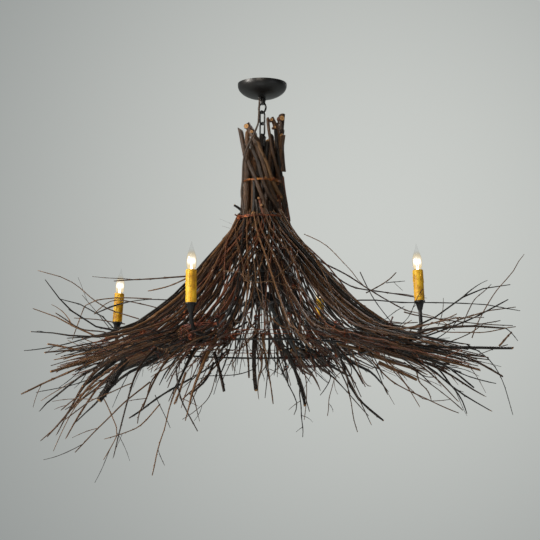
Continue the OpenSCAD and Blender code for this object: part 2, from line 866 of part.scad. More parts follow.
module bulb_base(k) {
    ridges = 5;
    r = base_d / 2;
    pitch = (base_l - 5) / ridges;
    color("#b08d4a")
    at_candle(k)
    translate([0, 0, base_z])
    rotate_extrude()
        polygon(concat(
            [[0, 0], [2.4, 0], [2.8, 1.2], [r - 1, 2.4]],
            [for (i = [0:ridges - 1]) each [[r - 0.4, 3 + pitch * i], [r, 3 + pitch * (i + 0.5)]]],
            [[r - 0.4, base_l - 1], [r - 0.4, glass_z - base_z], [0, glass_z - base_z]]
        ));
}

module filament(k) {
    lead_d = 0.8;
    lead_x = 2.6;
    lead_h = bulb_h * 0.3;
    color("orange")
    at_candle(k)
    translate([0, 0, glass_z + 1.2]) {
        cylinder(r1 = 3, r2 = 1.6, h = 9);
        for (side = [-1, 1])
            translate([side * lead_x, 0, 0])
                cylinder(d = lead_d, h = lead_h, $fn = 16);
        translate([-lead_x - 1, 0, lead_h])
        rotate([0, 90, 0])
            cylinder(d = 1.1, h = 2 * lead_x + 2, $fn = 16);
    }
}

// Supply cord: down beside the chain, over the front sticks, down the left side and in to the hub
cord_route = [
    [-7, -14.5, -24], [-7, -14.5, -46], [-8, -15, -70], [-9, -17, -92], [-10, -28, -110], [-13, -46, -124],
    [-17, -61, -138], [-27, -59, -158], [-38, -48, -178], [-46, -37, -200], [-49, -32, -230],
    [-50, -31, -262], [-53, -32, -295], [-53, -35, -322], [-50.5, -37.5, -345], [-51, -38, -366],
    [-50, -38, -388], [-44, -34, -408], [-35, -27, -428], [-27, -21, -450], [-20, -16, -482],
    [-17, -13, -515], [-17, -13, -545.5]
];
cord_steps = 2;
function route_at(i) = cord_route[max(0, min(len(cord_route) - 1, i))];
// A smooth line through the route's points
function smooth(i, t) =
    let(a = route_at(i - 1), b = route_at(i), c = route_at(i + 1), d = route_at(i + 2))
    0.5 * (2 * b + (c - a) * t + (2 * a - 5 * b + 4 * c - d) * t * t + (3 * b - a - 3 * c + d) * t * t * t);
cord_line = concat(
    [for (i = [0:len(cord_route) - 2]) for (s = [0:cord_steps - 1]) smooth(i, s / cord_steps)],
    [cord_route[len(cord_route) - 1]]
);

module supply_cord() {
    color("#4b4340")
        tube(cord_line, [for (p = cord_line) cord_d / 2], [for (p = cord_line) [0.3, 1, 0.1]], 8);
}

// Trunk

// Sticks whose tops stay low, so that the cord can pass over them: [number, height of the top]
low_sticks = [[8, -144]];
function stick_top(i) =
    let(low = [for (s = low_sticks) if (s[0] == i) s[1]])
    len(low) > 0 ? low[0] : mix(stick_top_z, stick_top_z - 44, rnd(i, 21));

module trunk_sticks() {
    color(bark)
    for (i = [0:stick_count - 1]) {
        low = stick_low_z + 26 * rnd(i, 22);
        points = [stick_point(i, low), stick_point(i, waist_z), stick_point(i, stick_top(i))];
        r = stick_sizes[i] / 2;
        a = stick_az(i);
        tube(points, [r * 0.94, r, r], [for (p = points) [cos(a), sin(a), 0]], 8, 0.5);
    }
}

module upper_tie() {
    color(copper)
        round_tie(upper_tie_r, upper_tie_z - wire_pitch, upper_turns, 300, "upper tie");
}

module lower_tie() {
    color(copper)
        round_tie(lower_tie_r, lower_tie_z + wire_d, lower_turns, 170, "lower tie");
}

// Wires between the layers: one round the start of the third layer, two on the big hoop
module layer_ties() {
    third = flare_point(2, third_wire_depth);
    color(copper) {
        round_tie(third[0] + sag(third[0]) / 2, third[1], 1, 40, "third layer tie", unit(flare[3] - flare[1]));
        round_tie(hoop_r, low_wire_z, 1, 10, "low hoop tie", [1, 0]);
        round_tie(hoop_r, high_wire_z, 1, 130, "high hoop tie", [1, 0]);
    }
}

// A bundle's wire goes round everything that lies beside one arm, as a box with cut corners
function squared(v) = max(-1, min(1, 1.3 * v));
// Height at radius r of a wire that lies off a sloping twig's line, which runs from a to b
function wire_off(a, b, r, d, side) =
    mix(a[1], b[1], (r - a[0]) / (b[0] - a[0]))
    + side * (d / 2 + gap + wire_d / 2) * norm(b - a) / (b[0] - a[0]);

module bundle_tie(k) {
    turns = 1.5;
    points = [
        for (j = [0:wire_steps * turns])
            let(
                a = 200 + 360 * j / wire_steps,
                az = arm_az(k) + bundle_half * squared(cos(a)),
                r = bundle_r - 5 + wire_pitch * j / wire_steps,
                top = wire_off(flare_point(4, 0), skirt_top[0], r, long_twig_d, 1),
                low = wire_off([hoop_r, hoop_twig_z], skirt_low[0], r, hoop_twig_d, -1)
            )
            [r * cos(az), r * sin(az), mix(low, top, (1 + squared(sin(a))) / 2)]
    ];
    echo(str("bundle tie ", k, ": least gap between turns ", least_gap(points), " mm"));
    out = [cos(arm_az(k)), sin(arm_az(k)), 0];
    tube(points, [for (p = points) wire_d / 2], [for (p = points) out], 6);
}

module bundle_ties() {
    color(copper)
    for (k = [0:3])
        bundle_tie(k);
}

// Twigs

// How far the long twigs stand up behind the lower wire, from the least to the most
over_wire = [14, 28];
// How far a usual tip rises above the skirt, and how far one drops below it
tip_lift = [-4, 55];
tip_drop = [0, 40];
// Radius where the twigs on the hoop start, and where the crossing ones do
hoop_start = [hoop_r - 78, hoop_r - 48];
cross_start = [hoop_r - 112, hoop_r - 84];
// Lengths of the side shoots above and below the skirt, and how far their tips leave it
high_run = [90, 200];
high_rise = [40, 170];
low_run = [70, 180];
low_fall = [40, 190];
// No side shoot reaches further out than this
shoot_reach = rim_r + 40;
// A value between two limits, taken by chance; higher powers bring it nearer to the first
function between(limits, i, seed, power = 1) = mix(limits[0], limits[1], pow(rnd(i, seed), power));

long_slots = layer_slots(2, 8, 11);
inner_slots = layer_slots(2, 8, 33);
third_slots = layer_slots(2, 5, 55);
hoop_slots = layer_slots(2, 3, 77);
low_cross_slots = layer_slots(2, 4, 99);
high_cross_slots = layer_slots(2, 4, 121);

// Azimuth where the cord goes in under the lower wire; a twig in its way is left out
cord_in_az = 216.5;
function at_cord(az, r, d) =
    abs((az - cord_in_az + 540) % 360 - 180) * PI / 180 * r < (d + cord_d) / 2 + 2;

// Line of a long twig: up behind the lower wire, down the flare, then out
function long_line(i, slot, depth, first, turn, above, rest) =
    let(
        inside = [for (j = [first:len(flare) - 1]) flare_point(j, depth[j])],
        lead = first == 0
            ? [[inside[0][0], inside[0][1] + above, slot[0] + turn * (1 + 0.21 * above / 25)]]
            : [],
        body = [for (p = inside) [p[0], p[1], slot[0] + turn * turn_left(p[0])]]
    )
    concat(lead, body, rest);

// Long twigs that stand out of the skirt: [slot, reach, lift at the tip]
high_strays = [[2, 640, 130], [3, 661, 255], [7, 600, 60], [16, 610, 90], [22, 640, 190], [26, 600, 130],
    [27, 605, 215], [29, 560, 160], [34, 600, 80], [45, 650, 60], [47, 650, 150]];
function stray(list, i) = [for (s = list) if (s[0] == i) s];

module outer_twigs() {
    color(bark)
    for (i = [0:len(long_slots) - 1]) {
        slot = long_slots[i];
        odd = stray(high_strays, i);
        reach = len(odd) > 0 ? odd[0][1] : usual_reach(i, 12, slot, 0.82, 1.01);
        by_arm = slot[1] < bundle_half / 2 + 1;
        lift = len(odd) > 0 ? odd[0][2] : by_arm ? 0 : between(tip_lift, i, 13, 2);
        rest = outer_line(slot, 0, reach, 14, i, lift, 6, long_twig_d);
        line = long_line(i, slot, [0, 0, 0, 0, 0], 0, -turn_at_neck, between(over_wire, i, 15), rest);
        if (!at_cord(slot[0] - turn_at_neck, neck_r, long_twig_d)) {
            twig(line, long_twig_d, 6);
            // In the lanes beside an arm the shoots start further out, clear of its candle
            first = by_arm ? 8 : 7;
            for (j = [first:1:len(line) - 2])
                if (rnd(i + j, 16) < high_forks)
                    fork(line, long_twig_d, 6, j, slot, 0, 14, i,
                        between(high_run, i + j, 17), between(high_rise, i + j, 18, 1.3));
        }
    }
}

module inner_twigs() {
    color(bark_red)
    for (i = [0:len(inner_slots) - 1]) {
        slot = inner_slots[i];
        reach = usual_reach(i, 34, slot, 0.74, 0.96);
        rest = outer_line(slot, 0.2, reach, 36, i, 0, 3, long_twig_d);
        if (!at_cord(slot[0] + turn_at_neck, inner_neck_r, long_twig_d))
            twig(long_line(i, slot, inner_depth, 0, turn_at_neck, between(over_wire, i, 37), rest),
                long_twig_d, 3);
    }
}

module third_twigs() {
    color(bark)
    for (i = [0:len(third_slots) - 1]) {
        slot = third_slots[i];
        reach = usual_reach(i, 56, slot, 0.74, 0.98);
        rest = outer_line(slot, 0.4, reach, 58, i, 0, 3, third_twig_d);
        twig(long_line(i, slot, third_depth, 2, -turn_at_neck, 0, rest), third_twig_d, 1);
    }
}

// Low twigs that hang far below the skirt: [slot, reach, drop at the tip]
low_strays = [[1, 560, 60], [4, 520, 40], [8, 540, 80], [12, 600, 90], [13, 600, 60], [14, 560, 150],
    [15, 590, 150], [16, 560, 90], [17, 540, 190], [18, 520, 330], [19, 500, 230], [20, 470, 400],
    [21, 480, 380], [24, 520, 220], [25, 540, 120], [26, 540, 100], [27, 600, 90]];

module hoop_twigs() {
    color(bark)
    for (i = [0:len(hoop_slots) - 1]) {
        slot = hoop_slots[i];
        odd = stray(low_strays, i);
        reach = len(odd) > 0 ? odd[0][1] : usual_reach(i, 78, slot, 0.72, 0.98);
        drop = len(odd) > 0 ? odd[0][2] : between(tip_drop, i, 79);
        start = between(hoop_start, i, 80);
        line = concat(
            [[start, hoop_twig_z + (hoop_r - start) * 0.2, slot[0]], [hoop_r, hoop_twig_z, slot[0]]],
            outer_line(slot, 1, reach, 81, i, -drop, 4, hoop_twig_d)
        );
        twig(line, hoop_twig_d, 2);
        for (j = [3:1:len(line) - 2])
            if (rnd(i + j, 82) < low_forks)
                fork(line, hoop_twig_d, 2, j, slot, 1, 81, i,
                    between(low_run, i + j, 83), -between(low_fall, i + j, 84, 1.3));
    }
}

// Two layers that cross over the arms on the big hoop, turning opposite ways
module cross_twigs(slots, t, level, height, turn, seed) {
    for (i = [0:len(slots) - 1]) {
        slot = slots[i];
        reach = usual_reach(i, seed, slot, 0.68, 0.97);
        start = between(cross_start, i, seed + 1);
        over_arm = (arm_d / 2 + height + cross_twig_d / 2) / cos(arm_drop);
        bend = hoop_r - 45;
        line = concat(
            [
                [start, arm_line_z(start) + over_arm, slot[0] + turn],
                [bend, arm_line_z(bend) + over_arm, slot[0] + turn * 0.4],
                [hoop_r, level, slot[0] + turn * 0.1]
            ],
            outer_line(slot, t, reach, seed + 2, i, 0, 3, cross_twig_d)
        );
        twig(line, cross_twig_d, 2);
    }
}

module low_cross_twigs() {
    color(bark_red)
        cross_twigs(low_cross_slots, 0.8, low_cross_z, 1, 9, 100);
}

module high_cross_twigs() {
    color(bark)
        cross_twigs(high_cross_slots, 0.6, high_cross_z, 1 + cross_twig_d + 2.4, -9, 122);
}

// Hanging twigs, wired inside the curtain ring and spreading out below it
curtain_fall = [[92, -560], [130, -612], [170, -655], [235, -738], [285, -830]];
curtain_slots = [
    for (q = [0:3])
        each group_slots(arm_az(q), 90, 8, 140 + q, 0.1)
];

module curtain_twigs() {
    color(bark_red)
    for (i = [0:len(curtain_slots) - 1]) {
        slot = curtain_slots[i];
        seat_r = curtain_ring_r - rod_d / 2 - 2.5 * gap - curtain_twig_d / 2;
        over = mix(26, 50, rnd(i, 141));
        end = mix(2.4, 4, rnd(i, 142));
        whole = floor(end);
        bend = 9 * (rnd(i, 143) - 0.5);
        tip = mix(curtain_fall[whole], curtain_fall[min(4, whole + 1)], end - whole);
        line = concat(
            [
                [seat_r - over * 0.5, curtain_ring_z + over, slot[0]],
                [seat_r, curtain_ring_z, slot[0]]
            ],
            [
                for (j = [0:whole])
                    let(p = curtain_fall[j])
                    [p[0], p[1], slot[0] + (j > 2 ? bend * 0.5 : 0)]
            ],
            end - whole > 0.2 ? [[tip[0], tip[1], slot[0] + bend * min(1, end - 2)]] : []
        );
        twig(line, curtain_twig_d, 2);
    }
}

crossbar();
ground_screw();
nipple();
locknut();
canopy();
canopy_loop();
cord_bushing();
chain_link(1);  // chain_link_1
chain_link(2);  // chain_link_2
chain_link(3);  // chain_link_3
hanger_eye();
stem();
upper_ring();
lower_ring();
curtain_ring();
hub();
hub_cover();
finial();
hoop();
arm(0);  // arm_front_right
arm(1);  // arm_back_right
arm(2);  // arm_back_left
arm(3);  // arm_front_left
cup(0);  // cup_front_right
cup(1);  // cup_back_right
cup(2);  // cup_back_left
cup(3);  // cup_front_left
lampholder(0);  // lampholder_front_right
lampholder(1);  // lampholder_back_right
lampholder(2);  // lampholder_back_left
lampholder(3);  // lampholder_front_left
sleeve(0);  // sleeve_front_right
sleeve(1);  // sleeve_back_right
sleeve(2);  // sleeve_back_left
sleeve(3);  // sleeve_front_left
bulb(0);  // bulb_front_right
bulb(1);  // bulb_back_right
bulb(2);  // bulb_back_left
bulb(3);  // bulb_front_left
bulb_base(0);  // bulb_base_front_right
bulb_base(1);  // bulb_base_back_right
bulb_base(2);  // bulb_base_back_left
bulb_base(3);  // bulb_base_front_left
filament(0);  // filament_front_right
filament(1);  // filament_back_right
filament(2);  // filament_back_left
filament(3);  // filament_front_left
supply_cord();
trunk_sticks();
upper_tie();
lower_tie();
layer_ties();
bundle_ties();
outer_twigs();
inner_twigs();
third_twigs();
hoop_twigs();
low_cross_twigs();
high_cross_twigs();
curtain_twigs();
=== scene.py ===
"""Dressed model of a branch chandelier with four candle lights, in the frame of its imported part.

Lengths in the classes are millimetres, with the origin on the ceiling and +Z up, as in the part's
source. They become metres where a mesh is made.
"""

from __future__ import annotations

import json
import logging
import sys
from dataclasses import dataclass, field
from enum import Enum
from math import atan, atan2, copysign, cos, degrees, floor, hypot, pi, radians, sin, sqrt, tan, tau
from typing import Callable, Iterable, Sequence

import bmesh
import bpy
from mathutils import Matrix, Vector

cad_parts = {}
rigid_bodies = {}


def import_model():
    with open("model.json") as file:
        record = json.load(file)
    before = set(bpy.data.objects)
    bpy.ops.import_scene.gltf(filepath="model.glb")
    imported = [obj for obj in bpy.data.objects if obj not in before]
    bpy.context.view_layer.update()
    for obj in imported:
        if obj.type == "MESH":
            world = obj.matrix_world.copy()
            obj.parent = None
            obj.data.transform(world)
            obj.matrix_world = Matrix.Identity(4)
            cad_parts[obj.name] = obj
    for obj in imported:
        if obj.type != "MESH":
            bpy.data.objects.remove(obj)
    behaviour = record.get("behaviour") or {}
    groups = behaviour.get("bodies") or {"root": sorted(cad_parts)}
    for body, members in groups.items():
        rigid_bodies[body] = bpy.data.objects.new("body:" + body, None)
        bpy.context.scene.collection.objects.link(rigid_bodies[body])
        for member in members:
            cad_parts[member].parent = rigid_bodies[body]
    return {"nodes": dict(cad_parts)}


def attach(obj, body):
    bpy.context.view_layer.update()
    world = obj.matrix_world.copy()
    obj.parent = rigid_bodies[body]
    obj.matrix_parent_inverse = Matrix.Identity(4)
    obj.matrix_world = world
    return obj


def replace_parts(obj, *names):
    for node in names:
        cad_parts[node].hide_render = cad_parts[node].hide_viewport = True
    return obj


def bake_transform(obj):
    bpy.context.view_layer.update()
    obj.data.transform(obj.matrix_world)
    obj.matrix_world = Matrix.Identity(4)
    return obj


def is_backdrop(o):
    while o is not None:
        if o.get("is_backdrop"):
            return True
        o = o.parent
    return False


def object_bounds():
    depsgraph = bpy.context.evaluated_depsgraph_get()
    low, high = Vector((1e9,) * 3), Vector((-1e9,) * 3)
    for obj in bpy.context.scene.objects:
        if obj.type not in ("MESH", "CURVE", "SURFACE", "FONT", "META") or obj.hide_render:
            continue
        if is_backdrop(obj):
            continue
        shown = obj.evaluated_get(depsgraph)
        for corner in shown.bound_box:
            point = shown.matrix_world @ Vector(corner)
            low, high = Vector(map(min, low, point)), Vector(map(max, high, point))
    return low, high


LOG = logging.getLogger("chandelier")
MM = 0.001
Piece = bpy.types.Object
Material = bpy.types.Material
Colour = tuple[float, float, float, float]
Lane = tuple[float, float]
Route = Sequence[tuple[float, float]]
Polar = tuple[float, float, float]
Line = list[Vector]


# Plain sums


def rnd(i: float, seed: float) -> float:
    """Gives a number between 0 and 1 that looks random and is the same each time."""
    v = sin(radians(71.3 * i + 37.7 * seed + 11.9)) * 9143.7
    return v - floor(v)


def mix(a: float, b: float, t: float) -> float:
    """Gives the value t of the way from a to b."""
    return a + (b - a) * t


def vary(a: float, b: float, i: float, seed: float) -> float:
    """Gives a number between a and b that looks random and is the same each time."""
    return mix(a, b, rnd(i, seed))


def held(value: float, low: float, high: float) -> float:
    """Keeps a value between two limits."""
    return max(low, min(high, value))


def lookup(x: float, table: Route) -> float:
    """Reads a table of pairs at x, in straight steps, with its ends held.

    Args:
        x: the place to read.
        table: pairs of place and value, in rising order.

    Returns:
        The value at x.
    """
    if x <= table[0][0]:
        return table[0][1]
    for (x0, y0), (x1, y1) in zip(table, table[1:]):
        if x <= x1:
            return mix(y0, y1, (x - x0) / (x1 - x0))
    return table[-1][1]


def ink(code: str) -> Colour:
    """Turns a colour written as six hexadecimal digits into the linear one that shaders take.

    Args:
        code: the colour as it looks on a screen.

    Returns:
        Linear red, green and blue, and a full alpha.
    """
    parts = []
    for i in (0, 2, 4):
        c = int(code[i : i + 2], 16) / 255
        parts.append(c / 12.92 if c <= 0.04045 else ((c + 0.055) / 1.055) ** 2.4)
    return (parts[0], parts[1], parts[2], 1.0)


def smooth_line(points: Line, steps: int) -> Line:
    """Draws a smooth line through points.

    Args:
        points: the points that the line passes.
        steps: how many short stretches stand for each stretch between two points.

    Returns:
        The points of the smooth line.
    """
    last = len(points) - 1
    line = []
    for i in range(last):
        a, b = points[max(0, i - 1)], points[i]
        c, d = points[i + 1], points[min(last, i + 2)]
        for s in range(steps):
            t = s / steps
            bend = (2 * a - 5 * b + 4 * c - d) * t * t + (3 * b - a - 3 * c + d) * t * t * t
            line.append(0.5 * (2 * b + (c - a) * t + bend))
    line.append(points[last].copy())
    return line


def pairs(route: Sequence[float]) -> list[tuple[float, float]]:
    """Gives the points of a route that is written as across and down in turn."""
    return list(zip(route[::2], route[1::2]))


def length_of(line: Line) -> float:
    """Measures a line along its stretches."""
    return sum((b - a).length for a, b in zip(line, line[1:]))


def around(az: float, r: float = 1.0, z: float = 0.0) -> Vector:
    """Gives the place at an azimuth in degrees, a radius and a height."""
    a = radians(az)
    return Vector((r * cos(a), r * sin(a), z))


def side_ways(way: Vector) -> tuple[Vector, Vector]:
    """Gives two directions at right angles to a way and to each other.

    Args:
        way: the way.

    Returns:
        The two directions.
    """
    flat = Vector((0, 0, 1)) if abs(way.z) < 0.9 else Vector((1, 0, 0))
    across = way.cross(flat).normalized()
    return across, across.cross(way).normalized()


# Shader sums and finishes


@dataclass(frozen=True)
class Wire:
    """A shader socket that takes part in sums, so that an expression adds its own nodes."""

    tree: bpy.types.NodeTree
    socket: bpy.types.NodeSocket

    def maths(self, operation: str, *values: Wire | float, first: float | None = None) -> Wire:
        """Adds a Math node.

        Args:
            operation: the node's operation.
            values: what joins this socket in it.
            first: a number that comes before this socket instead of after it.

        Returns:
            The node's result.
        """
        node = self.tree.nodes.new("ShaderNodeMath")
        node.operation = operation
        terms = [self, *values] if first is None else [first, self, *values]
        for i, term in enumerate(terms):
            if isinstance(term, Wire):
                self.tree.links.new(term.socket, node.inputs[i])
            else:
                node.inputs[i].default_value = term
        return Wire(self.tree, node.outputs[0])

    def __add__(self, other: Wire | float) -> Wire:
        """Adds."""
        return self.maths("ADD", other)

    def __sub__(self, other: Wire | float) -> Wire:
        """Takes away."""
        return self.maths("SUBTRACT", other)

    def __rsub__(self, other: float) -> Wire:
        """Is taken away from a number."""
        return self.maths("SUBTRACT", first=other)

    def __mul__(self, other: Wire | float) -> Wire:
        """Multiplies."""
        return self.maths("MULTIPLY", other)

    __radd__ = __add__
    __rmul__ = __mul__

    def above(self, edge: float, soft: float) -> Wire:
        """Gives 0 below an edge and 1 above it, with a soft step between.

        Args:
            edge: the edge.
            soft: how wide the step is.

        Returns:
            The step.
        """
        ramp = self.tree.nodes.new("ShaderNodeMapRange")
        ramp.interpolation_type = "SMOOTHSTEP"
        ramp.inputs["From Min"].default_value = edge - soft
        ramp.inputs["From Max"].default_value = edge + soft
        self.tree.links.new(self.socket, ramp.inputs["Value"])
        return Wire(self.tree, ramp.outputs["Result"])


Value = Wire | float | str | Sequence[float]


class Mixture:
    """A material in the making, with its main shader."""

    def __init__(self, name: str) -> None:
        """Starts an empty material with a Principled shader on its output.

        Args:
            name: its name.
        """
        self.material = bpy.data.materials.new(name)
        self.material.use_nodes = True
        self.tree = self.material.node_tree
        self.tree.nodes.clear()
        self.out = self.tree.nodes.new("ShaderNodeOutputMaterial")
        self.shader = self.tree.nodes.new("ShaderNodeBsdfPrincipled")
        self.tree.links.new(self.shader.outputs[0], self.out.inputs["Surface"])

    def node(
        self,
        kind: str,
        sockets: dict[str | int, Value] | None = None,
        settings: dict[str, object] | None = None,
        output: str | int = 0,
    ) -> Wire:
        """Adds any other node.

        Args:
            kind: the node's type.
            sockets: what its sockets are set or linked to.
            settings: its own settings.
            output: the result that is wanted.

        Returns:
            That result.
        """
        node = self.tree.nodes.new(kind)
        for key, value in (settings or {}).items():
            setattr(node, key, value)
        for key, value in (sockets or {}).items():
            self._feed(node.inputs[key], value)
        return Wire(self.tree, node.outputs[output])

    def _feed(self, socket: bpy.types.NodeSocket, value: Value) -> None:
        """Links a socket to a result, or sets it to a value or to a colour by its code.

        Args:
            socket: the socket.
            value: a result, a value or a colour's code.
        """
        if isinstance(value, Wire):
            self.tree.links.new(value.socket, socket)
        else:
            socket.default_value = ink(value) if isinstance(value, str) else value

    def place(self) -> Wire:
        """Gives the place on the object, in metres."""
        return self.node("ShaderNodeTexCoord", output="Object")

    def attribute(self, name: str, output: str = "Fac") -> Wire:
        """Reads an attribute of the piece's own mesh."""
        return self.node("ShaderNodeAttribute", settings={"attribute_name": name}, output=output)

    def scaled(self, vector: Wire, scale: Sequence[float]) -> Wire:
        """Stretches a pattern."""
        return self.node("ShaderNodeMapping", {"Vector": vector, "Scale": scale})

    def noise(self, vector: Wire, scale: float, detail: float = 3, rough: float = 0.55) -> Wire:
        """Adds cloudy noise between 0 and 1."""
        sockets = {"Vector": vector, "Scale": scale, "Detail": detail, "Roughness": rough}
        return self.node("ShaderNodeTexNoise", sockets)

    def cells(self, vector: Wire, feature: str) -> Wire:
        """Adds a pattern of cells and gives the distance that its feature stands for."""
        sockets = {"Vector": vector, "Scale": 1.0, "Randomness": 1.0}
        return self.node("ShaderNodeTexVoronoi", sockets, {"feature": feature}, "Distance")

    def blend(self, factor: Wire | float, a: Value, b: Value) -> Wire:
        """Mixes two colours."""
        settings = {"data_type": "RGBA", "clamp_factor": True}
        return self.node("ShaderNodeMix", {0: factor, 6: a, 7: b}, settings, output=2)

    def bump(self, height: Wire, distance: float, strength: float = 1.0) -> Wire:
        """Raises the surface by a pattern."""
        sockets = {"Height": height, "Distance": distance, "Strength": strength}
        return self.node("ShaderNodeBump", sockets, output="Normal")

    def finish(self, **sockets: Value) -> Material:
        """Sets the main shader's sockets, named with _ for a space, and gives the material.

        Args:
            sockets: what they are set or linked to.

        Returns:
            The material.
        """
        for key, value in sockets.items():
            self._feed(self.shader.inputs[key.replace("_", " ")], value)
        return self.material


@dataclass(frozen=True)
class BlackIron:
    """Hand-forged iron under satin black paint, rubbed a little paler on its high spots."""

    name: str = "black_iron"
    paint: str = "0f0e0e"
    rubbed: str = "26211e"
    gloss: float = 0.34

    def make(self) -> Material:
        """Makes the material.

        Returns:
            The material.
        """
        m = Mixture(self.name)
        place = m.place()
        cloud = m.noise(place, 22, 4)
        grit = m.noise(place, 900, 2)
        dents = m.noise(place, 130, 2)
        colour = m.blend((cloud * 0.6 + grit * 0.4).above(0.62, 0.14), self.paint, self.rubbed)
        return m.finish(
            Base_Color=colour,
            Roughness=self.gloss + 0.22 * (cloud - 0.5) + 0.1 * grit,
            Specular_IOR_Level=0.4,
            Normal=m.bump(dents * 0.8 + grit * 0.2, 0.0006, 0.6),
        )


@dataclass(frozen=True)
class Bark:
    """Bark of dried twigs: fibres along the twig, pale pores, and a tone of its own for each twig. The lit
    colour is a painted highlight on the raised fibres, and the deep colour also paints shade into the sunk
    cracks.
    """

    name: str
    # deep is the darkest bark tone, and also the painted shade of the cracks
    deep: str
    brown: str
    # lit is the painted highlight colour of the raised fibres
    lit: str
    pores: str = "8d7a66"
    gloss: float = 0.34

    def make(self) -> Material:
        """Makes the material.

        Returns:
            The material.
        """
        m = Mixture(self.name)
        grain = m.attribute("grain", "Vector")
        tone = m.attribute("tone")
        fibres = m.noise(m.scaled(grain, (45, 620, 620)), 1, 3, 0.6)
        patches = m.noise(m.scaled(grain, (14, 70, 70)), 1, 3)
        cracks = m.cells(m.scaled(grain, (110, 700, 700)), "DISTANCE_TO_EDGE")
        dots = m.cells(m.scaled(grain, (170, 330, 330)), "F1")
        seam = 1 - cracks.above(0.06, 0.05)
        warm = (patches * 0.6 + tone * 0.8 - 0.24).above(0.5, 0.36)
        colour = m.blend(warm, self.deep, self.brown)
        # painted highlight: the lit colour on the raised fibres, more of it on paler twigs
        colour = m.blend((fibres * 0.6 + tone * 0.5 - 0.05).above(0.58, 0.2) * 0.8, colour, self.lit)
        # painted shade: the sunk cracks are darkened towards the deep colour
        colour = m.blend(seam * 0.6, colour, self.deep)
        pored = (1 - dots.above(0.2, 0.06)) * patches.above(0.5, 0.1) * 0.6
        colour = m.blend(pored, colour, self.pores)
        return m.finish(
            Base_Color=colour,
            Roughness=self.gloss + 0.34 * fibres,
            Specular_IOR_Level=0.34,
            Normal=m.bump(fibres * 0.6 - seam * 0.6, 0.0007, 0.7),
        )


@dataclass(frozen=True)
class CutWood:
    """The sawn end of a stick, with growth rings and a darker pith."""

    name: str = "cut_wood"
    pale: str = "c39a63"
    ring: str = "8a5a30"
    pith: str = "5b3519"

    def make(self) -> Material:
        """Makes the material.

        Returns:
            The material.
        """
        m = Mixture(self.name)
        grain = m.attribute("grain", "Vector")
        flat = m.scaled(grain, (0, 1, 1))
        rings = m.node(
            "ShaderNodeTexWave",
            {"Vector": flat, "Scale": 190.0, "Distortion": 2.5, "Detail": 2.0, "Detail Scale": 2.0},
            {"wave_type": "RINGS", "rings_direction": "X"},
        )
        rays = m.noise(m.scaled(grain, (60, 500, 500)), 1, 3)
        reach = m.node("ShaderNodeVectorMath", {0: flat}, {"operation": "LENGTH"}, "Value")
        colour = m.blend(rings * 0.7 + rays * 0.3, self.ring, self.pale)
        colour = m.blend(1 - reach.above(0.0013, 0.0006), colour, self.pith)
        return m.finish(
            Base_Color=colour,
            Roughness=0.62 + 0.2 * rays,
            Normal=m.bump(rings * 0.4 + rays * 0.6, 0.0005, 0.7),
        )


@dataclass(frozen=True)
class Copper:
    """Annealed copper wire that has gone dark and rusty brown, with a bright rub here and there."""

    name: str
    bright: str = "c47a48"
    dull: str = "7a3a22"
    dark: str = "3d1d14"

    def make(self) -> Material:
        """Makes the material.

        Returns:
            The material.
        """
        m = Mixture(self.name)
        place = m.place()
        cloud = m.noise(place, 60, 4)
        fine = m.noise(place, 700, 3)
        colour = m.blend(cloud.above(0.5, 0.16), self.dark, self.dull)
        colour = m.blend((fine * 0.5 + cloud * 0.5).above(0.6, 0.1), colour, self.bright)
        return m.finish(
            Base_Color=colour,
            Metallic=0.35 + 0.5 * fine.above(0.5, 0.2),
            Roughness=0.34 + 0.3 * cloud,
            Normal=m.bump(fine, 0.0002, 0.5),
        )


@dataclass(frozen=True)
class Beeswax:
    """Dipped beeswax over a card sleeve: honey yellow, paler where it is thick, with dark specks."""

    name: str = "beeswax"
    honey: str = "d89c0c"
    pale: str = "e8bc2c"
    amber: str = "a06a0a"
    speck: str = "2e1c08"

    def make(self) -> Material:
        """Makes the material.

        Returns:
            The material.
        """
        m = Mixture(self.name)
        place = m.place()
        runs = m.noise(m.scaled(place, (150, 150, 22)), 1, 3)
        cloud = m.noise(place, 55, 3)
        specks = m.noise(m.scaled(place, (420, 420, 190)), 1, 2, 0.7)
        colour = m.blend(runs.above(0.5, 0.16), self.honey, self.pale)
        colour = m.blend((1 - cloud.above(0.44, 0.12)) * 0.8, colour, self.amber)
        colour = m.blend(specks.above(0.66, 0.03) * 0.9, colour, self.speck)
        return m.finish(
            Base_Color=colour,
            Roughness=0.36 + 0.22 * cloud,
            Subsurface_Weight=0.08,
            Subsurface_Radius=(0.004, 0.0025, 0.001),
            Specular_IOR_Level=0.4,
            Normal=m.bump(runs * 0.7 + cloud * 0.3, 0.0012, 0.6),
        )


@dataclass(frozen=True)
class LitGlass:
    """Clear glass of a lit flame bulb: a white-hot core in its belly, a clear tip and darker edges, where a
    grey colour paints the shade that refraction gives at the rim.
    """

    name: str = "bulb_glass"
    glow: float = 1.5
    core: str = "fffaf0"
    halo: str = "ffdf9c"
    # edge is the grey of the painted refraction shade at the rim
    edge: str = "5d5f5c"

    def make(self) -> Material:
        """Makes the material.

        Returns:
            The material.
        """
        m = Mixture(self.name)
        rise = m.attribute("rise")
        facing = 1 - m.node("ShaderNodeLayerWeight", {"Blend": 0.5}, output="Facing")
        belly = rise.above(0.22, 0.1) * (1 - rise.above(0.48, 0.16))
        haze = rise.above(0.06, 0.07) * (1 - rise.above(0.62, 0.2))
        hot = belly * facing.above(0.52, 0.3)
        soft = haze * facing.above(0.3, 0.3)
        light = m.blend(hot, self.halo, self.core)
        light = m.blend(hot.maths("MAXIMUM", soft * 0.55), (0.0, 0.0, 0.0, 1.0), light)
        # painted shade: the grey edge colour grows more opaque towards the silhouette
        rim = (1 - facing).above(0.74, 0.16)
        return m.finish(
            Base_Color=self.edge,
            Roughness=0.06,
            IOR=1.45,
            Emission_Color=light,
            Emission_Strength=self.glow,
            Alpha=hot.maths("MAXIMUM", soft * 0.6).maths("MAXIMUM", 0.06 + 0.5 * rim),
        )


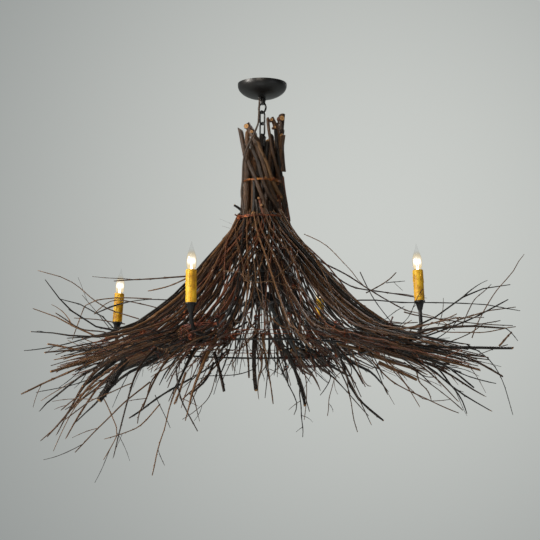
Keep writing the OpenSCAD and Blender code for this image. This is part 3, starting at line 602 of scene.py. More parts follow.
@dataclass(frozen=True)
class Glow:
    """A filament at full light."""

    name: str = "filament"
    colour: str = "ffe9c0"
    strength: float = 9.0

    def make(self) -> Material:
        """Makes the material.

        Returns:
            The material.
        """
        m = Mixture(self.name)
        waver = m.noise(m.place(), 400, 2)
        light = m.blend(waver, self.colour, "fff8ea")
        return m.finish(
            Base_Color=self.colour,
            Roughness=0.4,
            Emission_Color=light,
            Emission_Strength=self.strength,
        )


@dataclass(frozen=True)
class PlainMetal:
    """A small turned or stamped metal part with fine tool marks and a few dull spots."""

    name: str
    colour: str
    dull: str
    rough: float = 0.32

    def make(self) -> Material:
        """Makes the material.

        Returns:
            The material.
        """
        m = Mixture(self.name)
        place = m.place()
        marks = m.noise(m.scaled(place, (60, 60, 1500)), 1, 2)
        spots = m.noise(place, 180, 3)
        colour = m.blend(spots.above(0.56, 0.12), self.colour, self.dull)
        return m.finish(
            Base_Color=colour,
            Metallic=1.0,
            Roughness=self.rough + 0.2 * spots + 0.08 * marks,
            Normal=m.bump(marks, 0.0001, 0.5),
        )


@dataclass(frozen=True)
class Moulded:
    """A moulded or enamelled part: one colour with faint mottling and an eggshell surface."""

    name: str
    colour: str
    mottle: str
    rough: float = 0.45

    def make(self) -> Material:
        """Makes the material.

        Returns:
            The material.
        """
        m = Mixture(self.name)
        place = m.place()
        cloud = m.noise(place, 80, 3)
        pores = m.noise(place, 1400, 2)
        return m.finish(
            Base_Color=m.blend(cloud.above(0.5, 0.25), self.colour, self.mottle),
            Roughness=self.rough + 0.15 * cloud,
            Normal=m.bump(pores, 0.0001, 0.6),
        )


@dataclass(frozen=True)
class BraidedCord:
    """Brown cotton braid over the supply cord: two sets of strands that cross, with painted shade in the
    gaps between the strands.
    """

    name: str = "cord"
    thread: str = "55483f"
    # shade is the painted shade colour of the gaps between the strands
    shade: str = "251e1a"

    def make(self) -> Material:
        """Makes the material.

        Returns:
            The material.
        """
        m = Mixture(self.name)
        coil = m.attribute("coil", "Vector")
        lines = {"wave_type": "BANDS", "bands_direction": "DIAGONAL", "wave_profile": "SIN"}
        right = m.node("ShaderNodeTexWave", {"Vector": coil, "Scale": 1.0}, lines)
        left = m.node("ShaderNodeTexWave", {"Vector": m.scaled(coil, (-1, 1, 1)), "Scale": 1.0}, lines)
        weave = right.maths("MAXIMUM", left)
        fuzz = m.noise(m.attribute("grain", "Vector"), 900, 3)
        # painted shade: the low gaps between the crossing strands take the shade colour
        colour = m.blend((weave * 0.7 + fuzz * 0.3).above(0.5, 0.3), self.shade, self.thread)
        return m.finish(
            Base_Color=colour,
            Roughness=0.75 + 0.15 * fuzz,
            Normal=m.bump(weave, 0.0004, 0.8),
        )


@dataclass(frozen=True)
class StudioPaper:
    """Seamless paper of the studio, with a pool of soft light on it. The floor also takes shadow."""

    name: str
    dark: str
    light: str
    pool: Polar = (0.0, 0.0, 0.0)
    reach: float = 0.0
    even: float = 1.0

    def make(self) -> Material:
        """Makes the material.

        Returns:
            The material.
        """
        m = Mixture(self.name)
        tooth = m.noise(m.place(), 60, 2)
        colour = m.blend(tooth * 0.02, self.light, (0.4, 0.4, 0.4, 1.0))
        if self.reach:
            ends = {0: m.place(), 1: self.pool}
            away = m.node("ShaderNodeVectorMath", ends, {"operation": "DISTANCE"}, "Value")
            colour = m.blend(away.above(self.reach / 2, self.reach / 2), colour, self.dark)
        seen = m.node("ShaderNodeLightPath", output="Is Camera Ray")
        for ray in ("Is Glossy Ray", "Is Transmission Ray"):
            seen = seen.maths("MAXIMUM", m.node("ShaderNodeLightPath", output=ray))
        glow = m.node("ShaderNodeEmission", {"Color": colour, "Strength": 1.0})
        paper = Wire(m.tree, m.shader.outputs[0])
        both = m.node("ShaderNodeMixShader", {0: seen * self.even, 1: paper, 2: glow})
        m.tree.links.new(both.socket, m.out.inputs["Surface"])
        return m.finish(Base_Color=colour, Roughness=0.9, Specular_IOR_Level=0.1)


class Tone(Enum):
    """Tones of bark, by the name of their finish."""

    THICK = "thick_bark"
    DARK = "dark_bark"
    RED = "red_bark"
    VINE = "vine_bark"


THICK, DARK, RED, VINE = Tone


class Palette:
    """All the finishes of the chandelier, each made once."""

    def __init__(self) -> None:
        """Makes the materials."""
        self.iron = BlackIron().make()
        # Each bark takes deep, brown and lit colours: lit is a painted highlight, and deep also paints
        # shade in the cracks.
        self.thick_bark = Bark("thick_bark", "0e0703", "402410", "7f5b38").make()
        self.dark_bark = Bark("dark_bark", "0a0502", "341c0b", "6e4a2b").make()
        self.red_bark = Bark("red_bark", "100603", "452214", "7c4a30").make()
        self.vine_bark = Bark("vine_bark", "21150b", "5a3d22", "8a6844").make()
        self.cut_wood = CutWood().make()
        self.copper = Copper("copper").make()
        self.rusty_wire = Copper("rusty_wire", "8e4028", "55281a", "2a130d").make()
        self.gold_wire = Copper("gold_wire", "d79a52", "9a5a2a", "5b2f18").make()
        self.wax = Beeswax().make()
        self.glass = LitGlass().make()
        self.filament = Glow().make()
        self.zinc = PlainMetal("zinc", "a9adae", "7d8182", 0.36).make()
        self.brass = PlainMetal("brass", "b8944a", "7f6330", 0.3).make()
        self.green = Moulded("ground_green", "1f6b3a", "175230", 0.4).make()
        self.holder = Moulded("lampholder", "221d1a", "352d27", 0.55).make()
        self.bushing = Moulded("bushing", "2a2827", "1d1c1b", 0.6).make()
        self.cord = BraidedCord().make()

    def bark(self, tone: Tone) -> Material:
        """Gives the bark of a tone."""
        return getattr(self, tone.value)


# Modelling by hand


def drop_selection() -> None:
    """Leaves nothing selected."""
    bpy.ops.object.select_all(action="DESELECT")


def take(piece: Piece) -> None:
    """Makes one piece the only selected and the active one.

    Args:
        piece: the piece.
    """
    drop_selection()
    piece.select_set(True)
    bpy.context.view_layer.objects.active = piece


def placed(name: str, data: bpy.types.ID) -> Piece:
    """Puts a new object with some data in the scene.

    Args:
        name: its name.
        data: what it shows, such as a curve or a lamp.

    Returns:
        The object.
    """
    piece = bpy.data.objects.new(name, data)
    bpy.context.scene.collection.objects.link(piece)
    return piece


def run_spline(curve: bpy.types.Curve, line: Line) -> bpy.types.Spline:
    """Adds a line in millimetres to a curve in metres.

    Args:
        curve: the curve.
        line: the line's points, in millimetres.

    Returns:
        The spline.
    """
    spline = curve.splines.new("POLY")
    spline.points.add(len(line) - 1)
    for point, place in zip(spline.points, line):
        point.co = (place.x * MM, place.y * MM, place.z * MM, 1)
    return spline


def mark(piece: Piece, name: str, kind: str, values: Sequence[float]) -> None:
    """Stores numbers or vectors on the vertices, for the finishes to read."""
    field_name = "vector" if kind == "FLOAT_VECTOR" else "value"
    piece.data.attributes.new(name, kind, "POINT").data.foreach_set(field_name, values)


def face_outwards(seams: bool = False) -> None:
    """Turns all faces outwards in edit mode and leaves it, with doubles merged if there are seams.

    Args:
        seams: whether doubles are merged first.
    """
    bpy.ops.mesh.select_all(action="SELECT")
    if seams:
        bpy.ops.mesh.remove_doubles(threshold=1e-6)
    bpy.ops.mesh.normals_make_consistent(inside=False)
    bpy.ops.object.mode_set(mode="OBJECT")


def choose_faces(piece: Piece, test: Callable[[Vector, Vector], bool]) -> int:
    """Selects faces in edit mode.

    Args:
        piece: the piece in edit mode.
        test: says from a face's middle and normal if it is wanted.

    Returns:
        How many faces were selected.
    """
    shape = bmesh.from_edit_mesh(piece.data)
    bpy.ops.mesh.select_all(action="DESELECT")
    count = 0
    for face in shape.faces:
        if test(face.calc_center_median(), face.normal):
            face.select_set(True)
            count += 1
    bmesh.update_edit_mesh(piece.data)
    return count


def push(step: Sequence[float], narrow: float = 1.0) -> None:
    """Extrudes the selected faces by a step and narrows the new ones across X.

    Args:
        step: how far, in each direction.
        narrow: how far they are narrowed.
    """
    bpy.ops.mesh.extrude_region_move(TRANSFORM_OT_translate={"value": tuple(step)})
    if narrow != 1.0:
        bpy.ops.transform.resize(value=(1, narrow, narrow))


def joined(pieces: Sequence[Piece], name: str) -> Piece:
    """Joins pieces into one with a name.

    Args:
        pieces: the pieces.
        name: the name.

    Returns:
        The joined piece.
    """
    drop_selection()
    for piece in pieces:
        piece.select_set(True)
    bpy.context.view_layer.objects.active = pieces[0]
    if len(pieces) > 1:
        bpy.ops.object.join()
    pieces[0].name = name
    pieces[0].data.name = name
    return pieces[0]


class Growth(Enum):
    """Patterns of twig that the skirt is made of."""

    WHIP = "whip"
    KNOTTED = "knotted"
    FORKED = "forked"
    BUDDED = "budded"
    STOUT = "stout"
    SHOOT = "shoot"
    STICK = "stick"
    PRUNED = "pruned"
    CORD = "cord"


WHIP, KNOTTED, FORKED, BUDDED, STOUT, SHOOT, STICK, PRUNED, CORD = Growth


@dataclass(frozen=True)
class Node:
    """A swelling of a twig, with a bud or a side shoot on it."""

    along: float
    swell: float
    turn: float
    bud: float = 1.3
    shoot: float = 0.0
    spread: float = 0.0


@dataclass(frozen=True)
class Straight:
    """A straight twig of radius 1 and length 1 along X, before it is bent."""

    growth: Growth
    sides: int
    sections: int
    nodes: tuple[Node, ...] = ()
    slant: float = 0.0
    lumps: float = 0.0

    def places(self) -> list[tuple[float, float]]:
        """Gives the rings as pairs of place and width: even ones, and two close ones at each node.

        Returns:
            The rings in order.
        """
        rings = [(i / self.sections, 1.0) for i in range(self.sections + 1)]
        for node in self.nodes:
            rings = [r for r in rings if abs(r[0] - node.along) > 0.35 / self.sections or r[0] in (0, 1)]
            rings += [(node.along - 0.005, node.swell), (node.along + 0.005, node.swell)]
        return sorted(rings)

    def make(self, bark: Material, wood: Material) -> Piece:
        """Models the straight twig: a ring drawn out ring by ring, with buds drawn from its nodes.

        Args:
            bark: the material of its sides.
            wood: the material of its two ends.

        Returns:
            The straight twig.
        """
        drop_selection()
        bpy.ops.mesh.primitive_circle_add(
            vertices=self.sides, radius=1, fill_type="NGON", rotation=(0, pi / 2, 0)
        )
        piece = bpy.context.object
        piece.name = "pattern_" + self.growth.value
        bpy.ops.object.transform_apply(location=True, rotation=True, scale=True)
        piece.data.materials.append(bark)
        piece.data.materials.append(wood)
        bpy.ops.object.mode_set(mode="EDIT")
        bpy.ops.mesh.select_all(action="SELECT")
        rings = self.places()
        width = 1.0
        for (x0, _), (x1, w) in zip(rings, rings[1:]):
            push((x1 - x0, 0, 0), w / width)
            width = w
        bpy.ops.mesh.select_all(action="SELECT")
        bpy.ops.mesh.normals_make_consistent(inside=False)
        for node in self.nodes:
            self._grow(piece, node)
        self._ends(piece)
        bpy.ops.object.mode_set(mode="OBJECT")
        if self.lumps:
            self._lump(piece)
        take(piece)
        bpy.ops.object.shade_smooth_by_angle(angle=radians(58))
        return piece

    def _grow(self, piece: Piece, node: Node) -> None:
        """Draws a bud or a side shoot out of the face of a node that looks its way.

        Args:
            piece: the piece.
            node: the node.
        """
        way = Vector((0, cos(radians(node.turn)), sin(radians(node.turn))))
        best = [-1.0]

        def near(middle: Vector) -> bool:
            """Tells whether a face lies on the node and not on a bud."""
            return abs(middle.x - node.along) < 0.003 and Vector((0, middle.y, middle.z)).length < 1.6

        def score(middle: Vector, normal: Vector) -> bool:
            """Notes how well the best face looks the node's way.

            Args:
                middle: the face's middle.
                normal: the face's normal.

            Returns:
                False, as no face is to be selected.
            """
            if near(middle):
                best[0] = max(best[0], normal.dot(way))
            return False

        choose_faces(piece, score)
        choose_faces(piece, lambda c, n: near(c) and n.dot(way) > best[0] - 1e-4)
        if node.shoot:
            steps = 5
            for i in range(steps):
                out = way * node.spread / steps * (1.3 - 0.12 * i)
                push((node.shoot / steps, out.y, out.z))
                bpy.ops.transform.resize(value=(0.8 if i == 0 else 0.95, 0.8, 0.8))
        else:
            push((0.004, way.y * node.bud * 0.6, way.z * node.bud * 0.6))
            bpy.ops.transform.resize(value=(0.7, 0.55, 0.55))

    def _ends(self, piece: Piece) -> None:
        """Bevels the two ends by an inset, and gives them the cut wood.

        Args:
            piece: the piece.
        """
        for x, sign in ((0.0, -1), (1.0, 1)):
            choose_faces(piece, lambda c, n: abs(c.x - x) < 1e-4 and n.x * sign > 0.9)
            if self.sides > 6:
                bpy.ops.mesh.inset(thickness=0.1)
                bpy.ops.transform.translate(value=(sign * 0.0035, 0, 0))
            if self.slant:
                bpy.ops.mesh.select_more()
                bpy.ops.transform.rotate(
                    value=radians(self.slant) * sign, orient_axis="Y", center_override=(x, 0, 0)
                )
                bpy.ops.mesh.select_less()
            piece.active_material_index = 1
            bpy.ops.object.material_slot_assign()

    def _lump(self, piece: Piece) -> None:
        """Makes the sides uneven, as a grown stick is.

        Args:
            piece: the piece.
        """
        clouds = bpy.data.textures.new("lumps", "CLOUDS")
        clouds.noise_scale = 0.42
        clouds.noise_depth = 2
        sides = piece.vertex_groups.new(name="sides")
        sides.add([v.index for v in piece.data.vertices if 0.03 < v.co.x < 0.97], 1.0, "REPLACE")
        lumps = piece.modifiers.new("lumps", "DISPLACE")
        lumps.texture = clouds
        lumps.vertex_group = "sides"
        lumps.texture_coords = "LOCAL"
        lumps.strength = self.lumps
        lumps.mid_level = 0.5
        take(piece)
        bpy.ops.object.modifier_apply(modifier="lumps")


PATTERNS = (
    Straight(WHIP, 5, 12, (Node(0.45, 1.1, 40), Node(0.68, 1.1, 200), Node(0.86, 1.15, 80))),
    Straight(KNOTTED, 5, 11, (
        Node(0.33, 1.3, 110), Node(0.52, 1.25, 300), Node(0.67, 1.3, 60), Node(0.8, 1.2, 220),
        Node(0.92, 1.3, 20),
    )),
    Straight(FORKED, 5, 11, (
        Node(0.5, 1.2, 150), Node(0.64, 1.3, 20, shoot=0.2, spread=26),
        Node(0.84, 1.2, 250, shoot=0.1, spread=16),
    )),
    Straight(BUDDED, 5, 10, (
        Node(0.3, 1.1, 10, 1.6), Node(0.42, 1.1, 190, 1.6), Node(0.55, 1.1, 10, 1.8),
        Node(0.68, 1.15, 190, 1.8), Node(0.8, 1.15, 10, 2.0), Node(0.91, 1.2, 190, 2.2),
    )),
    Straight(STOUT, 7, 11, (
        Node(0.28, 1.12, 70, 1.0), Node(0.6, 1.15, 240, 1.0), Node(0.82, 1.1, 130, 1.2),
    ), slant=0.7),
    Straight(SHOOT, 4, 5, (Node(0.4, 1.25, 45, 2.2), Node(0.72, 1.3, 225, 2.4))),
    Straight(STICK, 14, 18, (Node(0.4, 1.05, 90, 0.3), Node(0.75, 1.05, 270, 0.3)), 1.2, 0.3),
    Straight(PRUNED, 12, 16, (
        Node(0.55, 1.08, 20, 0.4), Node(0.84, 1.12, 200, shoot=0.03, spread=1.6),
    ), -1.0, 0.34),
    Straight(CORD, 10, 28),
)


class Stock:
    """The straight patterns, and the guide line that copies of them are bent along."""

    grain_step = 7.0

    def __init__(self, palette: Palette) -> None:
        """Models each pattern once.

        Args:
            palette: the finishes.
        """
        self.palette = palette
        self.made: dict[Growth, Piece] = {}
        self.rest: dict[Growth, Line] = {}
        for straight in PATTERNS:
            piece = straight.make(palette.dark_bark, palette.cut_wood)
            self.made[straight.growth] = piece
            self.rest[straight.growth] = [v.co.copy() for v in piece.data.vertices]
            LOG.info("pattern %s: %d faces", straight.growth.value, len(piece.data.polygons))
        self.curve = bpy.data.curves.new("guide", "CURVE")
        self.curve.dimensions = "3D"
        self.curve.use_stretch = True
        self.curve.use_deform_bounds = True
        self.guide = placed("guide", self.curve)

    def bend(
        self,
        growth: Growth,
        line: Line,
        radii: Sequence[float],
        bark: Material,
        turn: float = 0.0,
        tone: float = 0.5,
    ) -> Piece:
        """Bends a copy of a pattern along a line.

        Args:
            growth: the pattern.
            line: the line's points, in millimetres.
            radii: the radius at each point.
            bark: the material of its sides.
            turn: how far it is turned about its own line, in radians.
            tone: how warm and pale its bark is, from 0 to 1.

        Returns:
            The bent copy, in metres, with its grain and tone as attributes.
        """
        self.curve.splines.clear()
        for point, radius in zip(run_spline(self.curve, line).points, radii):
            point.radius = radius * MM
            point.tilt = turn
        piece = self.made[growth].copy()
        piece.data = piece.data.copy()
        piece.data.materials[0] = bark
        bpy.context.scene.collection.objects.link(piece)
        bow = piece.modifiers.new("bow", "CURVE")
        bow.object = self.guide
        bow.deform_axis = "POS_X"
        bpy.context.view_layer.objects.active = piece
        bpy.ops.object.modifier_apply(modifier="bow")
        self._mark(piece, growth, length_of(line), sum(radii) / len(radii), tone)
        return piece

    def _mark(self, piece: Piece, growth: Growth, length: float, radius: float, tone: float) -> None:
        """Stores where each vertex lay on the straight twig, for the bark's pattern.

        Args:
            piece: the piece.
            growth: its pattern.
            length: its length, in millimetres.
            radius: its mean radius, in millimetres.
            tone: its tone, from 0 to 1.
        """
        start = self.grain_step * tone
        grain: list[float] = []
        for v in self.rest[growth]:
            grain += (v.x * length * MM + start, v.y * radius * MM, v.z * radius * MM)
        mark(piece, "grain", "FLOAT_VECTOR", grain)
        mark(piece, "tone", "FLOAT", [tone] * len(self.rest[growth]))

    def close(self) -> None:
        """Clears the patterns and the guide away."""
        for piece in (*self.made.values(), self.guide):
            bpy.data.objects.remove(piece)


# Sizes that the part's source gives

SIDES = ("front_right", "back_right", "back_left", "front_left")


@dataclass(frozen=True)
class Iron:
    """Sizes of the iron frame, the trunk and the wires, as in the part's source."""

    gap: float = 0.3
    rod_d: float = 5.0
    arm_d: float = 9.0
    hub_r: float = 30.0
    hub_z: float = -572.0
    hub_h: float = 26.0
    hoop_z: float = -690.0
    hoop_r: float = 280.0
    curtain_ring_z: float = -500.0
    curtain_ring_r: float = 75.0
    arm_drop: float = 29.0
    arm_turn: float = -22.5
    candle_r: float = 418.0
    j_bend_r: float = 42.0
    post_l: float = 17.0
    cup_h: float = 22.5
    sleeve_h: float = 76.0
    lampholder_drop: float = 6.0
    candle_rise: tuple[float, ...] = (14, 8, -5, -16)
    candle_lean: tuple[float, ...] = (2.8, 1, 4, 0.5)
    stick_count: int = 15
    waist_r: float = 42.0
    waist_z: float = -270.0
    stick_lean: float = 0.226
    stick_top_z: float = -82.0
    stick_low_z: float = -398.0
    upper_tie_z: float = -248.0
    lower_tie_z: float = -345.0
    wire_d: float = 1.6
    long_twig_d: float = 5.4
    third_twig_d: float = 5.2
    hoop_twig_d: float = 8.6
    cross_twig_d: float = 6.0
    curtain_twig_d: float = 6.0
    tip_d: float = 2.2
    rim_r: float = 600.0
    fork_share: float = 0.75
    high_forks: float = 0.8
    low_forks: float = 0.8

    def arm_az(self, k: int) -> float:
        """Gives the azimuth of an arm, in degrees."""
        return self.arm_turn + 90 * k

    def shares(self) -> list[float]:
        """Gives each stick's share of the ring at the waist."""
        return [1 + 0.34 * (rnd(i, 3) - 0.5) for i in range(self.stick_count)]

    def stick_sizes(self) -> list[float]:
        """Gives the thickness of each stick.

        Returns:
            The thicknesses, in millimetres.
        """
        shares = self.shares()
        way = 2 * pi * self.waist_r * cos(atan(self.stick_lean))
        return [way * s / sum(shares) * 0.985 - 0.5 for s in shares]

    def stick_az(self, i: int) -> float:
        """Gives the azimuth of a stick at the waist, in degrees."""
        shares = self.shares()
        return 360 * (sum(shares[:i]) + shares[i] / 2) / sum(shares) + 90

    def trunk_r(self, z: float) -> float:
        """Gives the radius of the sticks' middles at a height."""
        return hypot(self.waist_r, self.stick_lean * (z - self.waist_z))

    def stick_point(self, i: int, z: float) -> Vector:
        """Gives the middle of a stick at a height.

        Args:
            i: its number.
            z: the height.

        Returns:
            The point, in millimetres.
        """
        sizes = self.stick_sizes()
        a = radians(self.stick_az(i))
        r = self.waist_r + (max(sizes) - sizes[i]) / 2
        s = -self.stick_lean * (z - self.waist_z)
        return Vector((r * cos(a) - s * sin(a), r * sin(a) + s * cos(a), z))

    @property
    def inner_neck_r(self) -> float:
        """Radius of the inner layer under the lower wire."""
        thick = max(self.stick_sizes())
        return self.trunk_r(self.lower_tie_z) + thick / 2 + self.gap + self.long_twig_d / 2

    @property
    def neck_r(self) -> float:
        """Radius of the outer layer under the lower wire."""
        return self.inner_neck_r + self.long_twig_d + 4 * self.gap

    @property
    def arm_low_z(self) -> float:
        """Height of the arms where they lie on the hoop."""
        return self.hoop_z + self.rod_d / 2 + self.gap + self.arm_d / 2

    @property
    def hoop_twig_z(self) -> float:
        """Height of the twigs that lie on the hoop."""
        return self.hoop_z + self.rod_d / 2 + self.gap + self.hoop_twig_d / 2

    @property
    def low_cross_z(self) -> float:
        """Height of the lower crossing layer over the hoop."""
        top = max(self.arm_low_z + self.arm_d / 2, self.hoop_twig_z + self.hoop_twig_d / 2)
        return top + 2 * self.gap + self.wire_d + self.cross_twig_d / 2

    @property
    def high_cross_z(self) -> float:
        """Height of the upper crossing layer over the hoop."""
        return self.low_cross_z + self.cross_twig_d + 3 * self.gap + self.wire_d

    def arm_line_z(self, r: float) -> float:
        """Gives the height of an arm's middle line at a radius, before its first bend."""
        root = self.hub_r - 12
        return self.hub_z + self.hub_h / 2 + 4 - (r - root) * tan(radians(self.arm_drop))

    def at_candle(self, k: int) -> Matrix:
        """Gives the matrix that puts a mesh in millimetres on the end of an arm, in metres.

        Args:
            k: the arm.

        Returns:
            The matrix.
        """
        lean = radians(self.candle_lean[k])
        foot = self.arm_low_z + self.j_bend_r * (1 + sin(lean))
        return (
            Matrix.Scale(MM, 4)
            @ Matrix.Rotation(radians(self.arm_az(k)), 4, "Z")
            @ Matrix.Translation((self.candle_r, 0, foot))
            @ Matrix.Rotation(-lean, 4, "Y")
            @ Matrix.Translation((0, 0, self.post_l + self.candle_rise[k]))
        )


def in_space(line: Iterable[Polar]) -> Line:
    """Turns points of radius, height and azimuth in degrees into places."""
    return [around(az, r, z) for r, z, az in line]


@dataclass(frozen=True)
class Camera:
    """The photograph's camera: its place, its upward tilt and its focal length in picture points."""

    place: Polar = (20.0, -3700.0, -1010.0)
    tilt: float = 8.04
    focal: float = 1466.0
    half_frame: float = 270.0
    sensor: float = 36.0

    def make(self) -> None:
        """Puts the camera in the scene."""
        data = bpy.data.cameras.new("camera")
        data.sensor_width = self.sensor
        data.lens = self.focal / (2 * self.half_frame) * self.sensor
        data.clip_end = 100
        eye = placed("camera", data)
        eye.location = Vector(self.place) * MM
        eye.rotation_euler = (radians(90 + self.tilt), 0, 0)
        bpy.context.scene.camera = eye

    def at_depth(self, px: float, py: float, depth: float) -> Vector:
        """Gives the place that a picture point shows.

        Args:
            px: how far right in the picture.
            py: how far down in the picture.
            depth: the place's Y.

        Returns:
            The place, in millimetres.
        """
        t = radians(self.tilt)
        across = (px - self.half_frame) / self.focal
        rise = (self.half_frame - py) / self.focal
        way = Vector((across, cos(t) - rise * sin(t), sin(t) + rise * cos(t)))
        eye = Vector(self.place)
        return eye + way * ((depth - eye.y) / way.y)

    def on_shell(
        self, px: float, py: float, shell: Route, out: float, depth: float, least: float, rounds: int
    ) -> Vector:
        """Gives the place on the front of a round shell that a picture point shows.

        Args:
            px: how far right in the picture.
            py: how far down in the picture.
            shell: the shell's outline as height and radius.
            out: how far outside it the place lies.
            depth: where the search starts.
            least: the least square of the depth.
            rounds: how often the place is drawn nearer to the shell.

        Returns:
            The place, in millimetres.
        """
        place = self.at_depth(px, py, depth)
        for _ in range(rounds):
            r = lookup(place.z, shell) + out
            place = self.at_depth(px, py, -sqrt(max(least, r * r - place.x * place.x)))
        return place


@dataclass(frozen=True)
class Neck:
    """How the lower wire pulls the twigs together and down from their plain lanes."""

    sink: float = 13.0
    pull: float = 5.0
    full_z: float = -370.0
    none_z: float = -520.0

    def share(self, z: float) -> float:
        """Tells how much of the pull is felt at a height."""
        t = held((z - self.none_z) / (self.full_z - self.none_z), 0, 1)
        return t * t * (3 - 2 * t)

    def settled(self, point: Vector) -> Vector:
        """Moves a point in and down as far as the wire pulls it.

        Args:
            point: the point.

        Returns:
            The moved point.
        """
        share = self.share(point.z)
        r = hypot(point.x, point.y)
        near = max(0.0, r - self.pull * share) / max(r, 1e-6)
        return Vector((point.x * near, point.y * near, point.z - self.sink * share))


# The skirt of twigs

# Twigs by number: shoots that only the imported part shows, and tips of their own as radius and rise

HIGH_SHED = (4, 5, 7, 8, 41, 46, 47, 48, 49, 50, 52, 53, 55, 60, 79, 80, 83)
LOW_SHED = (1, 3, 4, 13, 18, 20, 23, 24, 27, 31, 33, 34, 36, 44, 53, 54)
HIGH_STRAYS = {
    2: (640, 130), 3: (661, 255), 7: (600, 60), 16: (610, 90), 22: (640, 190), 26: (600, 130),
    27: (605, 215), 29: (560, 160), 34: (600, 80), 45: (650, 60), 47: (650, 150),
}
LOW_STRAYS = {
    1: (560, 60), 4: (520, 40), 8: (540, 80), 12: (600, 90), 13: (600, 60), 14: (560, 150),
    15: (590, 150), 16: (560, 90), 17: (540, 190), 18: (520, 330), 19: (500, 230), 20: (470, 400),
    21: (480, 380), 24: (520, 220), 25: (540, 120), 26: (540, 100), 27: (600, 90),
}


@dataclass(frozen=True)
class Layer:
    """What a layer of the skirt is laid by.

    It has a number of lanes beside each arm and between the arms. Its level runs from 0 at the skirt's
    top to 1 at the underside. Its reach and its shoots' run and rise lie between two values each, and
    the reach is a share of the rim.
    """

    lanes: tuple[int, int]
    seed: int
    line_seed: int
    level: float
    reach: tuple[float, float]
    bound: int
    shake: float = 3.0
    run: tuple[float, float] = (0.0, 0.0)
    rise: tuple[float, float] = (0.0, 0.0)


OUTER = Layer((2, 8), 11, 14, 0.0, (0.82, 1.01), 6, 6.0, (90, 200), (40, 170))
INNER = Layer((2, 8), 33, 36, 0.2, (0.74, 0.96), 3)
THIRD = Layer((2, 5), 55, 58, 0.4, (0.74, 0.98), 1)
HOOP = Layer((2, 3), 77, 81, 1.0, (0.72, 0.98), 2, 4.0, (70, 180), (-40, -190))
LOW_CROSS = Layer((2, 4), 99, 102, 0.8, (0.68, 0.97), 2)
HIGH_CROSS = Layer((2, 4), 121, 124, 0.6, (0.68, 0.97), 2)


@dataclass
class Twig:
    """One twig: its line, its thickness at the two ends and where its taper starts."""

    line: Line
    thick: float
    tip: float
    bound: float
    growth: Growth
    tone: float
    turn: float
    steps: int = 4
    shake: float = 1.0
    parent: int = -1
    joint: int = 0
    shed: bool = False

    def width_at(self, j: float) -> float:
        """Gives the thickness at a point of the line."""
        share = (j - self.bound) / max(1e-6, len(self.line) - 1 - self.bound)
        return mix(self.thick, self.tip, held(share, 0, 1))


